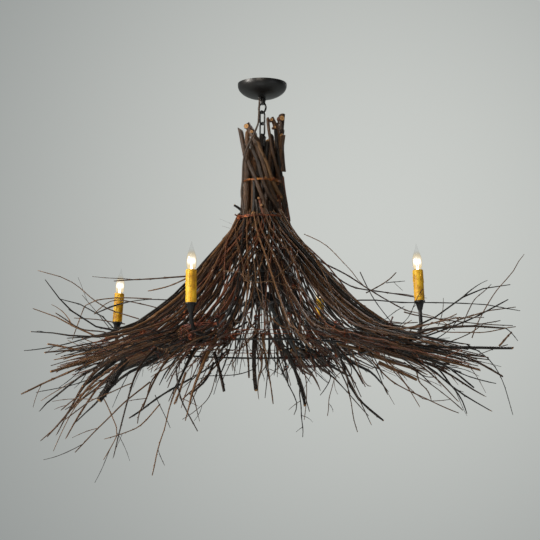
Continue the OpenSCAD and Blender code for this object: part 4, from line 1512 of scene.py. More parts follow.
@dataclass
class Skirt:
    """The twigs' lines, laid in lanes round the frame as the part's source lays them."""

    iron: Iron
    neck: Neck = field(default_factory=Neck)
    flare: Route = ((0, 0), (18, -26), (40, -56), (88, -122), (155, -208))
    bundle_r: float = 348.0
    bundle_half: float = 12.0
    turn_at_neck: float = 28.0
    top: Route = ((348, -648), (440, -676), (530, -698), (620, -712), (690, -720))
    low: Route = ((348, -708), (440, -727), (530, -752), (620, -778), (690, -804))
    stations: tuple[float, ...] = (348, 440, 530, 620)
    cord_in_az: float = 216.5
    cord_d: float = 5.0
    curtain_fall: Route = ((92, -560), (130, -612), (170, -655), (235, -738), (285, -830))
    sparse: Route = ((292.0, 32.0), (112.0, 28.0))
    bundle_counts: tuple[int, ...] = (18, 18, 14, 13)
    bundle_reach: tuple[float, ...] = (0.84, 0.72, 0.9, 0.84)
    neck_count: int = 100
    low_count: int = 64
    fill_shake: float = 2.6

    def __post_init__(self) -> None:
        """Works out the depths of the layers."""
        d, gap, wire = self.iron.long_twig_d, self.iron.gap, self.iron.wire_d
        self.inner_depth = (d + 4 * gap, d + 1.4, 8, 11, 13)
        third_wire = self.inner_depth[2] + d / 2 + 2 * gap + wire / 2
        self.third_depth = (0, 0, third_wire + wire / 2 + 1.4 * gap + self.iron.third_twig_d / 2, 22, 28)

    def group_slots(self, start: float, span: float, count: int, seed: float, jitter: float) -> list[Lane]:
        """Shares a span of azimuth among a number of lanes.

        Args:
            start: the azimuth where the span starts.
            span: its width in degrees.
            count: how many lanes it holds.
            seed: what makes its unevenness its own.
            jitter: how uneven the lanes are.

        Returns:
            The middle and the width of each lane.
        """
        w = [1 + jitter * (rnd(i, seed) - 0.5) for i in range(count)]
        return [
            (start + span * (sum(w[:i]) + w[i] / 2) / sum(w), span * w[i] / sum(w)) for i in range(count)
        ]

    def layer_slots(self, near: int, middle: int, seed: float) -> list[Lane]:
        """Gives a layer's lanes: narrow ones beside the arms and wide ones between them.

        Args:
            near: the lanes beside an arm.
            middle: the lanes between two arms.
            seed: what makes its unevenness its own.

        Returns:
            The middle and the width of each lane.
        """
        half = self.bundle_half
        slots: list[Lane] = []
        for q in range(4):
            az = self.iron.arm_az(q)
            for part, start, span, count, jitter in (
                (0, 0.0, half, near, 0.05),
                (1, half, 90 - 2 * half, middle, 0.24),
                (2, 90 - half, half, near, 0.05),
            ):
                slots += self.group_slots(az + start, span, count, seed + 5 * q + part, jitter)
        return slots

    def skirt_z(self, r: float, t: float) -> float:
        """Gives a height in the skirt at a radius: its top for t = 0 and its underside for t = 1."""
        return mix(lookup(r, self.top), lookup(r, self.low), t)

    def flare_point(self, j: int, inward: float) -> tuple[float, float]:
        """Gives a point of the flare under the neck, some way inside its outline.

        Args:
            j: the point of the outline.
            inward: how far inside it.

        Returns:
            Its radius and height.
        """
        a = self.flare[max(0, j - 1)]
        b = self.flare[min(len(self.flare) - 1, j + 1)]
        nr, nz = (1.0, 0.0) if j == 0 else (a[1] - b[1], b[0] - a[0])
        size = hypot(nr, nz)
        r, z = self.flare[j]
        return (
            self.iron.neck_r + r - inward * nr / size,
            self.iron.lower_tie_z + z - inward * nz / size,
        )

    def turn_left(self, r: float) -> float:
        """Gives the share of a layer's turn that is left at a radius."""
        neck = self.iron.neck_r
        return max(0.0, (self.bundle_r - r) / (self.bundle_r - neck)) ** 4

    def freedom(self, r: float) -> float:
        """Tells how freely a twig wanders at a radius."""
        return held((r - self.bundle_r) / 210, 0, 1)

    def outer_line(
        self, slot: Lane, t: float, reach: float, seed: float, i: int, lift: float, shake: float, d: float
    ) -> list[Polar]:
        """Lays the outer part of a twig, from the bundles to its tip.

        Args:
            slot: its lane.
            t: its level in the skirt.
            reach: the radius of its tip.
            seed: the layer's seed.
            i: its number in the layer.
            lift: how far its tip is raised.
            shake: how unevenly it rises.
            d: its thickness.

        Returns:
            Points of radius, height and azimuth.
        """
        bend = 1.5 * (rnd(i, seed + 1) - 0.5)
        line = []
        for r in [*(s for s in self.stations if s < reach - 25), reach]:
            f = self.freedom(r)
            kink = 0.5 * (rnd(i + r, seed + 2) - 0.5)
            room = slot[1] / 2 * radians(1) * r - d / 2 - 1
            side = room * held(bend + kink, -0.9, 0.9) * f
            up = f * f * lift + f * shake * (rnd(i + r, seed + 3) - 0.5)
            line.append((r, self.skirt_z(r, t) + up, slot[0] + degrees(side / r)))
        return line

    def lanes_of(self, layer: Layer) -> Iterable[tuple[int, Lane, float]]:
        """Gives each lane of a layer with its number and the radius where a usual twig has its tip.

        Args:
            layer: the layer.

        Returns:
            Each lane's number, the lane and the radius.
        """
        for i, slot in enumerate(self.layer_slots(*layer.lanes, layer.seed)):
            short = 1 - 0.07 * sin(radians(slot[0])) ** 2
            yield i, slot, self.iron.rim_r * vary(*layer.reach, i, layer.seed + 1) * short

    def rest_of(
        self, layer: Layer, i: int, slot: Lane, reach: float, d: float, lift: float = 0.0
    ) -> list[Polar]:
        """Lays the outer part of a layer's twig."""
        return self.outer_line(slot, layer.level, reach, layer.line_seed, i, lift, layer.shake, d)

    def long_line(
        self, slot: Lane, depth: Sequence[float], first: int, turn: float, above: float, rest: list[Polar]
    ) -> list[Polar]:
        """Lays a long twig: up behind the lower wire, down the flare, then out.

        Args:
            slot: its lane.
            depth: how far inside the outline it lies at each point of the flare.
            first: the point of the flare where it starts.
            turn: how far it is turned about the axis at the neck.
            above: how far it stands above the lower wire.
            rest: its outer part.

        Returns:
            Points of radius, height and azimuth.
        """
        inside = [self.flare_point(j, depth[j]) for j in range(first, len(self.flare))]
        line: list[Polar] = []
        if first == 0:
            line.append((inside[0][0], inside[0][1] + above, slot[0] + turn * (1 + 0.21 * above / 25)))
        line += [(r, z, slot[0] + turn * self.turn_left(r)) for r, z in inside]
        return line + rest

    def at_cord(self, az: float, r: float, d: float) -> bool:
        """Tells whether a twig would lie in the cord's way under the lower wire."""
        off = abs((az - self.cord_in_az + 540) % 360 - 180)
        return radians(off) * r < (d + self.cord_d) / 2 + 2

    def growth_of(self, i: int, seed: float) -> Growth:
        """Picks a pattern for a twig."""
        kinds = (WHIP, KNOTTED, BUDDED, FORKED, KNOTTED)
        return kinds[int(rnd(i, seed + 7.7) * len(kinds)) % len(kinds)]

    def thinning(self, az: float) -> float:
        """Tells how far a twig lies in the sparse sectors in front and behind, from 0 to 1."""
        near = [abs((az - middle + 540) % 360 - 180) / half for middle, half in self.sparse]
        return held((1.1 - min(near)) / 0.3, 0, 1)

    def twig(
        self, line: list[Polar], d: float, bound: float, i: int, seed: float, growth: Growth | None = None
    ) -> Twig:
        """Makes a twig of a line, with a thickness of its own, thinner in the sparse sectors.

        Args:
            line: points of radius, height and azimuth.
            d: its thickness.
            bound: the point where its taper starts.
            i: its number.
            seed: what makes its unevenness its own.
            growth: its pattern, or nothing to pick one.

        Returns:
            The twig.
        """
        thin = self.thinning(line[-1][2])
        size = vary(0.74, 1.22, i, seed + 6.9) * mix(1, 0.72, thin)
        return Twig(
            [self.neck.settled(p) for p in in_space(line)],
            d * size,
            self.iron.tip_d * mix(1, 0.75, thin),
            bound,
            growth or self.growth_of(i, seed),
            rnd(i, seed + 3.3),
            tau * rnd(i, seed + 5.1),
        )

    def add_forks(
        self, layer: Layer, line: list[Polar], twigs: list[Twig], first: int, share: float, i: int,
        slot: Lane,
    ) -> None:
        """Forks side shoots off the last twig of a layer, at some points of its line.

        Args:
            layer: the layer.
            line: the twig's line.
            twigs: the layer's twigs so far.
            first: the first point that may have a shoot.
            share: how many of the points have one.
            i: the twig's number in the layer.
            slot: the twig's lane.
        """
        seed = layer.seed + 5
        for j in range(first, len(line) - 1):
            if rnd(i + j, seed) < share:
                run = vary(*layer.run, i + j, seed + 1)
                rise = mix(*layer.rise, rnd(i + j, seed + 2) ** 1.3)
                twigs.append(self.fork(layer, line, twigs, j, i, slot, run, rise))

    def fork(
        self, layer: Layer, line: list[Polar], twigs: list[Twig], j: int, i: int, slot: Lane, run: float,
        rise: float,
    ) -> Twig:
        """Forks a side shoot off the last twig of a layer.

        Args:
            layer: the layer.
            line: the twig's line.
            twigs: the layer's twigs so far.
            j: the point of the line where the shoot starts.
            i: the twig's number in the layer.
            slot: the twig's lane.
            run: how far the shoot reaches outwards.
            rise: how far it rises over the skirt, or falls below it.

        Returns:
            The shoot.
        """
        base = max(n for n, twig in enumerate(twigs) if twig.parent < 0)
        root = line[j]
        run = min(run, self.iron.rim_r + 40 - root[0])
        off = root[1] - self.skirt_z(root[0], layer.level)
        way = 1 if rnd(i, layer.line_seed + 1) < 0.5 else -1
        points = [root]
        for s in (0.5, 1.0):
            r = root[0] + run * s
            room = slot[1] / 2 * radians(1) * r - self.iron.tip_d / 2 - 1
            az = slot[0] + degrees(way * room * 0.85 / r)
            z = self.skirt_z(r, layer.level) + off + rise * s**1.4
            points.append((r, z, mix(root[2], az, min(1, 1.3 * s))))
        thick = twigs[base].width_at(j) * self.iron.fork_share
        growth = BUDDED if rnd(i + j, 19) < 0.5 else None
        shoot = self.twig(points, thick, 0, i + j, layer.line_seed + 9, growth)
        shoot.steps = 6
        shoot.parent = base
        shoot.joint = j
        return shoot

    def outer_layer(self) -> list[Twig]:
        """Lays the outer layer of long twigs, with the shoots that fork off above the skirt.

        Returns:
            The layer's twigs.
        """
        twigs = []
        d = self.iron.long_twig_d
        for i, slot, reach in self.lanes_of(OUTER):
            by_arm = slot[1] < self.bundle_half / 2 + 1
            lift = 0 if by_arm else mix(-4, 55, rnd(i, OUTER.seed + 2) ** 2)
            reach, lift = HIGH_STRAYS.get(i, (reach, lift))
            if self.at_cord(slot[0] - self.turn_at_neck, self.iron.neck_r, d):
                continue
            rest = self.rest_of(OUTER, i, slot, reach, d, lift)
            above = vary(3, 22, i, OUTER.seed + 4)
            line = self.long_line(slot, (0,) * 5, 0, -self.turn_at_neck, above, rest)
            twigs.append(self.twig(line, d, OUTER.bound, i, OUTER.seed))
            self.add_forks(OUTER, line, twigs, 8 if by_arm else 7, self.iron.high_forks, i, slot)
        for n in HIGH_SHED:
            twigs[n].shed = True
        return twigs

    def inner_layer(self) -> list[Twig]:
        """Lays the second layer, which turns the other way.

        Returns:
            The layer's twigs.
        """
        twigs = []
        d = self.iron.long_twig_d
        for i, slot, reach in self.lanes_of(INNER):
            if self.at_cord(slot[0] + self.turn_at_neck, self.iron.inner_neck_r, d):
                continue
            rest = self.rest_of(INNER, i, slot, reach, d)
            above = vary(2, 16, i, INNER.seed + 4)
            line = self.long_line(slot, self.inner_depth, 0, self.turn_at_neck, above, rest)
            twigs.append(self.twig(line, d, INNER.bound, i, INNER.seed))
        return twigs

    def third_layer(self) -> list[Twig]:
        """Lays the third layer, which starts below the neck.

        Returns:
            The layer's twigs.
        """
        twigs = []
        d = self.iron.third_twig_d
        for i, slot, reach in self.lanes_of(THIRD):
            rest = self.rest_of(THIRD, i, slot, reach, d)
            line = self.long_line(slot, self.third_depth, 2, -self.turn_at_neck, 0, rest)
            twigs.append(self.twig(line, d, THIRD.bound, i, THIRD.seed))
        return twigs

    def hoop_layer(self) -> list[Twig]:
        """Lays the stout twigs on the big hoop, with the shoots that fork off below the skirt.

        Returns:
            The layer's twigs.
        """
        twigs = []
        iron = self.iron
        for i, slot, reach in self.lanes_of(HOOP):
            reach, drop = LOW_STRAYS.get(i, (reach, vary(0, 40, i, HOOP.seed + 2)))
            start = vary(202, 232, i, HOOP.seed + 3)
            line = [
                (start, iron.hoop_twig_z + (iron.hoop_r - start) * 0.2, slot[0]),
                (iron.hoop_r, iron.hoop_twig_z, slot[0]),
                *self.rest_of(HOOP, i, slot, reach, iron.hoop_twig_d, -drop),
            ]
            twigs.append(self.twig(line, iron.hoop_twig_d, HOOP.bound, i, HOOP.seed, STOUT))
            self.add_forks(HOOP, line, twigs, 3, iron.low_forks, i, slot)
        for n in LOW_SHED:
            twigs[n].shed = True
        return twigs

    def cross_layer(self, layer: Layer, level: float, height: float, turn: float) -> list[Twig]:
        """Lays a layer that crosses over the arms on the hoop.

        Args:
            layer: the layer.
            level: its height on the hoop.
            height: how far it lies above the arms.
            turn: how far it is turned at its start.

        Returns:
            The layer's twigs.
        """
        twigs = []
        iron = self.iron
        d = iron.cross_twig_d
        over = (iron.arm_d / 2 + height + d / 2) / cos(radians(iron.arm_drop))
        bend = iron.hoop_r - 45
        for i, slot, reach in self.lanes_of(layer):
            start = vary(168, 196, i, layer.seed + 2)
            line = [
                (start, iron.arm_line_z(start) + over, slot[0] + turn),
                (bend, iron.arm_line_z(bend) + over, slot[0] + turn * 0.4),
                (iron.hoop_r, level, slot[0] + turn * 0.1),
                *self.rest_of(layer, i, slot, reach, d),
            ]
            twigs.append(self.twig(line, d, layer.bound, i, layer.seed + 1))
        return twigs

    def low_cross_layer(self) -> list[Twig]:
        """Lays the lower crossing layer."""
        return self.cross_layer(LOW_CROSS, self.iron.low_cross_z, 1, 9)

    def high_cross_layer(self) -> list[Twig]:
        """Lays the upper crossing layer."""
        return self.cross_layer(HIGH_CROSS, self.iron.high_cross_z, 3.4 + self.iron.cross_twig_d, -9)

    def curtain_layer(self) -> list[Twig]:
        """Lays the twigs that hang from the curtain ring in the middle.

        Returns:
            The layer's twigs.
        """
        twigs = []
        iron = self.iron
        fall = self.curtain_fall
        slots = [s for q in range(4) for s in self.group_slots(iron.arm_az(q), 90, 8, 140 + q, 0.1)]
        seat = iron.curtain_ring_r - iron.rod_d / 2 - 2.5 * iron.gap - iron.curtain_twig_d / 2
        for i, slot in enumerate(slots):
            over = vary(26, 50, i, 141)
            end = vary(2.4, 4, i, 142)
            whole = floor(end)
            bend = 9 * (rnd(i, 143) - 0.5)
            line = [
                (seat - over * 0.5, iron.curtain_ring_z + over, slot[0]),
                (seat, iron.curtain_ring_z, slot[0]),
            ]
            for j, (r, z) in enumerate(fall[: whole + 1]):
                line.append((r, z, slot[0] + (bend * 0.5 if j > 2 else 0)))
            if end - whole > 0.2:
                a, b = fall[whole], fall[min(4, whole + 1)]
                r, z = mix(a[0], b[0], end - whole), mix(a[1], b[1], end - whole)
                line.append((r, z, slot[0] + bend * min(1, end - 2)))
            twigs.append(self.twig(line, iron.curtain_twig_d, 2, i, 140))
        return twigs

    def bundle_fill(self, k: int) -> list[Twig]:
        """Fills the bundle over one arm with more long twigs between the layers.

        Args:
            k: the arm.

        Returns:
            The twigs.
        """
        twigs = []
        for i in range(self.bundle_counts[k]):
            seed = 200 + 20 * k
            spread = 2 * rnd(i, seed) - 1
            off = 25 * spread * abs(spread) ** 0.25
            t = held(0.06 + 0.9 * rnd(i, seed + 1), 0, 1)
            if abs(off) < 5 and t < 0.8:
                off += copysign(5, off)
            reach = self.iron.rim_r * mix(0.6, self.bundle_reach[k], rnd(i, seed + 2))
            turn = 44 * (2 * rnd(i, seed + 3) - 1)
            d = mix(2.8, 7.2, rnd(i, seed + 4) ** 1.7)
            slot = (self.iron.arm_az(k) + off, 8.0)
            lift = vary(-44, 10, i, seed + 5)
            rest = self.outer_line(slot, t, reach, seed + 6, i, lift, 26, 2)
            deep = 6 + 44 * t
            first = 0 if t < 0.4 else 2 if t < 0.75 else 3
            depth = (6, 8 + 6 * t, 4 + deep * 0.4, 4 + deep * 0.6, 2 + deep)
            line = self.long_line(slot, depth, first, turn, vary(2, 16, i, seed + 7), rest)
            twig = self.twig(line, d, 3, i, seed)
            twig.shake = self.fill_shake
            twigs.append(twig)
        return twigs

    def neck_fill(self) -> list[Twig]:
        """Lays shorter twigs all round the flare, which cross each other and end over the hoop.

        Returns:
            The twigs.
        """
        twigs = []
        for i in range(self.neck_count):
            az = 360 * (i + rnd(i, 301)) / self.neck_count
            turn = 70 * (2 * rnd(i, 302) - 1)
            deep = vary(-9, 34, i, 303)
            first = 0 if rnd(i, 304) < 0.5 else 1
            end = vary(1.6, 4.0, i, 305)
            depth = [2 + deep * s for s in (0.2, 0.4, 0.8, 0.9, 1.0)]
            inside = [self.flare_point(j, depth[j]) for j in range(first, len(self.flare))]
            line = [(r, z, az + turn * self.turn_left(r)) for r, z in inside]
            tail = vary(240, 430, i, 306)
            z_tail = self.skirt_z(tail, 0.5) + vary(-60, 30, i, 307)
            line = line[: max(2, int(end) + 1)] if rnd(i, 308) < 0.35 else line
            if len(line) > 3:
                line.append((tail, z_tail, az + 16 * (rnd(i, 309) - 0.5)))
            twig = self.twig(line, vary(2.4, 5.4, i, 310), 1, i, 300)
            twig.shake = self.fill_shake
            twigs.append(twig)
        return twigs

    def low_fill(self) -> list[Twig]:
        """Lays twigs that hang out of the underside, between the middle and the rim.

        Returns:
            The twigs.
        """
        twigs = []
        for i in range(self.low_count):
            az = 360 * (i + rnd(i, 331)) / self.low_count
            if self.thinning(az) > 0.5:
                continue
            start = vary(170, 360, i, 332)
            z0 = self.skirt_z(max(start, self.bundle_r), 0.85) + max(0.0, self.bundle_r - start) * 0.45
            run = vary(70, 200, i, 333)
            fall = run * mix(0.1, 0.8, rnd(i, 334) ** 1.5)
            side = 22 * (rnd(i, 335) - 0.5)
            line = [
                (start, z0, az),
                (start + run * 0.5, z0 - fall * 0.36, az + side * 0.3),
                (start + run, z0 - fall, az + side),
            ]
            twigs.append(self.twig(line, mix(2.4, 5.6, rnd(i, 336) ** 1.6), 0.4, i, 330))
        return twigs


@dataclass
class Weaver:
    """Bends the twigs of a list, inside the part's box, and joins them into one piece."""

    stock: Stock
    low: Vector
    high: Vector
    box_margin: float = 2.0
    calm_r: float = 110.0
    wild_r: float = 490.0
    wander: tuple[float, float] = (0.4, 5.0)
    knees: tuple[float, float] = (62.0, 74.0)
    waves: tuple[float, float] = (15.0, 17.0)
    shoot_share: float = 0.62
    shoot_from_r: float = 330.0
    shoot_rim: float = 612.0
    laid: list[tuple[Line, list[float]]] = field(default_factory=list)

    def kinks(self, run: float, step: float, seed: float) -> float:
        """Gives a zigzag between -1 and 1 whose corners lie a step apart, as the nodes of a twig do."""
        n = floor(run / step)
        return mix(2 * rnd(n, seed) - 1, 2 * rnd(n + 1, seed) - 1, run / step - n)

    def path(self, twig: Twig, seed: float) -> tuple[Line, list[float]]:
        """Smooths a twig's line, lets it wander a little and gives it its taper.

        Args:
            twig: the twig.
            seed: what makes its wandering its own.

        Returns:
            The points and the radii, cut off where the twig would leave the part's box.
        """
        line = smooth_line(twig.line, twig.steps)
        radii = [twig.width_at(n / twig.steps) / 2 for n in range(len(line))]
        shaken = []
        run = 0.0
        for n, point in enumerate(line):
            way = (line[min(n + 1, len(line) - 1)] - line[max(0, n - 1)]).normalized()
            across, rise = side_ways(way)
            run += (point - line[n - 1]).length if n else 0
            far = held((hypot(point.x, point.y) - self.calm_r) / (self.wild_r - self.calm_r), 0, 1)
            size = twig.shake * mix(*self.wander, far) * (0 if n == 0 else 1)
            a = self.kinks(run, self.knees[0], seed) + 0.5 * sin(run / self.waves[0] + 5 * seed)
            b = self.kinks(run, self.knees[1], seed + 4.4) + 0.5 * sin(run / self.waves[1] + 3 * seed)
            shaken.append(point + across * a * size + rise * b * size * 0.8)
        for _ in range(2):
            inside = zip(shaken, shaken[1:], shaken[2:])
            shaken = [shaken[0], *((a + 2 * b + c) / 4 for a, b, c in inside), shaken[-1]]
        keep = len(shaken)
        for n, p in enumerate(shaken):
            if not all(self.box_margin < min(p[c] - self.low[c], self.high[c] - p[c]) for c in range(3)):
                keep = n
                break
        return shaken[:keep], radii[:keep]

    def weave(
        self, twigs: Sequence[Twig], name: str, tones: Sequence[Tone], slot: Tone, remember: bool = True
    ) -> Piece:
        """Bends all twigs of a list.

        Args:
            twigs: the twigs.
            name: the piece's name.
            tones: the tones of bark that the twigs take in turn.
            slot: not used.
            remember: whether side shoots may grow on them.

        Returns:
            The joined piece, which rides on the pendant.
        """
        pieces = []
        paths: list[Line] = []
        for i, twig in enumerate(twigs):
            if twig.parent >= 0:
                bough = twigs[twig.parent]
                there = paths[twig.parent][min(twig.joint * bough.steps, len(paths[twig.parent]) - 1)]
                off = there - twig.line[0]
                twig.line = [p + off for p in twig.line]
            line, radii = self.path(twig, rnd(i, len(name)) * 10)
            paths.append(line)
            if len(line) < 4 or twig.shed:
                continue
            bark = self.stock.palette.bark(tones[int(rnd(i, 1.7) * len(tones)) % len(tones)])
            pieces.append(self.stock.bend(twig.growth, line, radii, bark, twig.turn, twig.tone))
            if remember:
                self.laid.append((line, radii))
        piece = joined(pieces, name)
        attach(piece, "pendant")
        LOG.info("%s: %d twigs, %d faces", name, len(pieces), len(piece.data.polygons))
        return piece

    def shoots(self) -> list[Twig]:
        """Grows fine side shoots on the twigs that were laid.

        Returns:
            The shoots.
        """
        grown = []
        for i, (line, radii) in enumerate(list(self.laid)):
            for s in range(3):
                if rnd(i, 401 + s) > self.shoot_share / 3:
                    continue
                n = int(vary(0.45, 0.96, i, 405 + s) * (len(line) - 2))
                root = line[n]
                if hypot(root.x, root.y) < self.shoot_from_r:
                    continue
                way = (line[n + 1] - line[n]).normalized()
                across, rise = side_ways(way)
                a = tau * rnd(i, 409 + s)
                side = across * cos(a) + rise * sin(a)
                lean = vary(0.35, 1.1, i, 413 + s)
                size = mix(28, 120, rnd(i, 417 + s) ** 1.6)
                first = (way + side * lean).normalized()
                last = (way + side * lean * vary(0.2, 1.5, i, 421 + s)).normalized()
                droop = Vector((0, 0, -1)) * vary(-0.1, 0.3, i, 425 + s)
                mid = root + first * size * 0.5
                tip = mid + (last + droop).normalized() * size * 0.5
                if hypot(tip.x, tip.y) > self.shoot_rim:
                    continue
                thick = min(radii[n] * 1.5, vary(1.7, 3.0, i, 429 + s))
                grown.append(Twig([root, mid, tip], thick, 1.1, 0, SHOOT, rnd(i, 433 + s), a, 3, 0.5))
        return grown


@dataclass(frozen=True)
class Stray:
    """A twig that stands out in the photograph: where its points show, and how deep they lie."""

    route: tuple[float, ...]
    near: float
    far: float
    thick: float = 3.6
    tip: float = 1.6
    growth: Growth = KNOTTED

    def twig(self, camera: Camera, i: int) -> Twig:
        """Makes the twig, with its depth changing evenly along it.

        Args:
            camera: the photograph's camera.
            i: its number.

        Returns:
            The twig.
        """
        points = pairs(self.route)
        last = len(points) - 1
        line = [camera.at_depth(*q, mix(self.near, self.far, n / last)) for n, q in enumerate(points)]
        turn = tau * rnd(i, 502)
        return Twig(line, self.thick, self.tip, 0, self.growth, rnd(i, 501), turn, 5, 0.35)


STRAYS = (
    Stray((139, 319, 110, 310, 94, 300, 80, 287, 62, 277, 38, 270), 120, 60, 3.6, 1.7, BUDDED),
    Stray((190, 276, 150, 279, 114, 281), -120, -160, 4.4, 2.2),
    Stray((152, 299, 118, 298, 99, 300, 86, 305, 79, 320, 75, 330, 72, 340), 110, 60, 3.4, 1.6),
    Stray((165, 310, 138, 303, 112, 300, 94, 314), 60, 20, 3.2, 1.8),
    Stray((128, 302, 112, 306, 94, 314), 150, 130, 4.0, 2.4),
    Stray((125, 324, 100, 320, 74, 318), 170, 150, 3.4, 2.0, WHIP),
    Stray((116, 336, 98, 314, 82, 295), 140, 90, 2.4, 1.2, BUDDED),
    Stray((118, 330, 79, 340, 48, 348, 24, 351), 170, 160, 4.2, 1.8, BUDDED),
    Stray((104, 350, 80, 350, 47, 344), 150, 140, 7.6, 4.6, STOUT),
    Stray((110, 346, 80, 349, 44, 353), 190, 200, 6.4, 4.0, STOUT),
    Stray((108, 352, 83, 361, 50, 372), 120, 100, 9.0, 6.4, STOUT),
    Stray((118, 352, 79, 368, 48, 382, 21, 394), 110, 60, 6.4, 3.4, KNOTTED),
    Stray((110, 372, 72, 385, 36, 392), 170, 170, 3.2, 1.6, BUDDED),
    Stray((98, 368, 68, 384, 41, 401), 130, 110, 3.0, 1.4, BUDDED),
    Stray((122, 356, 104, 370, 82, 387), 60, 20, 10.0, 7.4, STOUT),
    Stray((126, 360, 112, 382, 99, 401), 20, -30, 20.0, 16.0, STOUT),
    Stray((110, 352, 82, 386, 66, 416, 47, 437), 60, 0, 5.0, 2.4, WHIP),
    Stray((100, 382, 74, 408, 53, 451), 100, 60, 3.2, 1.4, BUDDED),
    Stray((150, 382, 124, 403, 98, 428, 75, 452), -60, -150, 4.4, 2.4, WHIP),
    Stray((100, 392, 108, 408, 117, 430, 113, 444, 104, 460), 20, -60, 3.4, 1.6, KNOTTED),
    Stray((160, 404, 142, 424, 127, 432, 104, 439), -180, -260, 3.4, 1.6, BUDDED),
    Stray((192, 378, 160, 396, 142, 410, 129, 418), -240, -320, 5.4, 3.0, KNOTTED),
    Stray((176, 366, 179, 394, 188, 414, 197, 431), -330, -400, 4.6, 2.6, WHIP),
    Stray((155, 395, 163, 412, 170, 428), -200, -230, 2.2, 1.2, BUDDED),
    Stray((186, 372, 180, 390, 174, 404), -300, -330, 6.0, 4.6, STOUT),
    Stray((214, 352, 220, 372, 224, 392), -250, -280, 8.6, 6.6, STOUT),
    Stray((255, 330, 254, 360, 256, 391), -262, -280, 11.0, 8.6, STOUT),
    Stray((246, 340, 248, 360, 249, 378), -255, -260, 5.0, 3.4, KNOTTED),
    Stray((256, 368, 240, 374, 214, 376, 204, 376), -270, -330, 2.6, 1.4, BUDDED),
    Stray((216, 374, 210, 396, 196, 410, 182, 419), -300, -330, 2.4, 1.2, BUDDED),
    Stray((214, 362, 206, 380, 190, 395), -300, -340, 6.4, 4.4, STOUT),
    Stray((230, 350, 205, 378, 182, 400), -270, -380, 4.0, 2.4, KNOTTED),
    Stray((262, 340, 268, 368, 273, 404), -250, -300, 4.4, 2.4, KNOTTED),
    Stray((286, 348, 296, 372, 303, 396, 305, 406), -240, -300, 9.0, 5.6, STOUT),
    Stray((276, 352, 286, 380, 297, 402, 294, 415), -240, -290, 3.6, 1.6, BUDDED),
    Stray((300, 355, 307, 385, 304, 420), -220, -280, 2.8, 1.4, BUDDED),
    Stray((312, 352, 330, 372, 328, 384, 320, 395), -180, -240, 3.0, 1.6, BUDDED),
    Stray((333, 338, 341, 360, 353, 391, 368, 408, 383, 421), -160, -260, 7.0, 4.2, KNOTTED),
    Stray((318, 362, 340, 384, 356, 402, 369, 416), -180, -260, 3.2, 1.6, BUDDED),
    Stray((352, 352, 364, 382, 371, 386), -160, -180, 2.8, 1.4, KNOTTED),
    Stray((372, 360, 390, 380, 420, 396, 459, 413), -190, -260, 4.0, 1.9, KNOTTED),
    Stray((380, 355, 400, 378, 425, 400, 451, 399), -120, -150, 2.6, 1.4, BUDDED),
    Stray((378, 362, 396, 370, 417, 380), -200, -230, 9.4, 6.6, STOUT),
    Stray((404, 362, 424, 376, 436, 377), -180, -200, 2.8, 1.6, KNOTTED),
    Stray((404, 352, 440, 362, 474, 388), -200, -220, 5.4, 3.4, KNOTTED),
    Stray((414, 352, 450, 362, 481, 370), -170, -180, 8.4, 5.4, STOUT),
    Stray((420, 352, 462, 374, 496, 384), -140, -150, 4.0, 2.0, BUDDED),
    Stray((430, 350, 468, 357, 503, 377), -190, -190, 6.8, 4.4, STOUT),
    Stray((466, 344, 490, 360, 504, 384, 513, 415), -180, -160, 2.8, 1.4, BUDDED),
    Stray((400, 345, 430, 346, 470, 348, 514, 348), -150, -190, 9.0, 6.2, STOUT),
    Stray((499, 346, 506, 338, 512, 332), -187, -187, 5.0, 3.0, SHOOT),
    Stray((396, 342, 420, 332, 438, 328, 462, 326, 488, 327, 506, 328), -200, -230, 7.6, 4.0, STOUT),
    Stray((505, 328, 512, 334, 518, 341), -230, -230, 2.6, 1.4, SHOOT),
    Stray((404, 312, 425, 317, 470, 323, 513, 326), -110, -120, 3.6, 1.8, BUDDED),
    Stray((414, 340, 453, 327, 484, 313, 508, 299), -200, -210, 4.4, 2.4, KNOTTED),
    Stray((472, 338, 480, 318, 493, 294, 511, 274, 518, 261, 524, 254), -180, -210, 3.0, 1.3, BUDDED),
    Stray((462, 326, 473, 302, 484, 292, 491, 284), -160, -160, 2.6, 1.4, BUDDED),
    Stray((438, 326, 443, 310, 444, 298), -220, -220, 1.9, 1.1, SHOOT),
    Stray((345, 301, 376, 300, 402, 303, 429, 302, 482, 304, 505, 308, 520, 311), -60, -170, 3.8, 1.6),
    Stray((384, 323, 400, 323, 418, 322), -100, -120, 3.6, 2.2, WHIP),
    Stray((366, 293, 386, 282, 396, 272), -40, -50, 3.4, 2.0, KNOTTED),
    Stray((386, 283, 396, 282, 405, 281), -45, -45, 2.2, 1.4, SHOOT),
    Stray((304, 234, 325, 244, 341, 260, 352, 272, 361, 284, 372, 291), -60, -70, 2.4, 1.3, BUDDED),
    Stray((300, 246, 319, 261, 346, 274, 365, 287, 399, 307, 412, 312), 20, -70, 5.0, 3.0, WHIP),
    Stray((330, 272, 352, 287, 384, 292, 418, 298), 40, 10, 4.6, 2.4, KNOTTED),
    Stray((360, 272, 374, 300, 392, 322, 402, 336), -20, -120, 3.0, 1.6, WHIP),
    Stray((404, 310, 428, 315, 440, 320, 455, 330), -60, -90, 2.6, 1.4, BUDDED),
    Stray((232, 246, 212, 258, 200, 266, 188, 278), -80, -160, 2.6, 1.4, WHIP),
    Stray((226, 262, 200, 272, 170, 286, 148, 291), -20, 20, 4.6, 2.4, KNOTTED),
    Stray((206, 292, 176, 300, 150, 299, 124, 303, 95, 314), -40, 20, 3.2, 1.7, BUDDED),
)

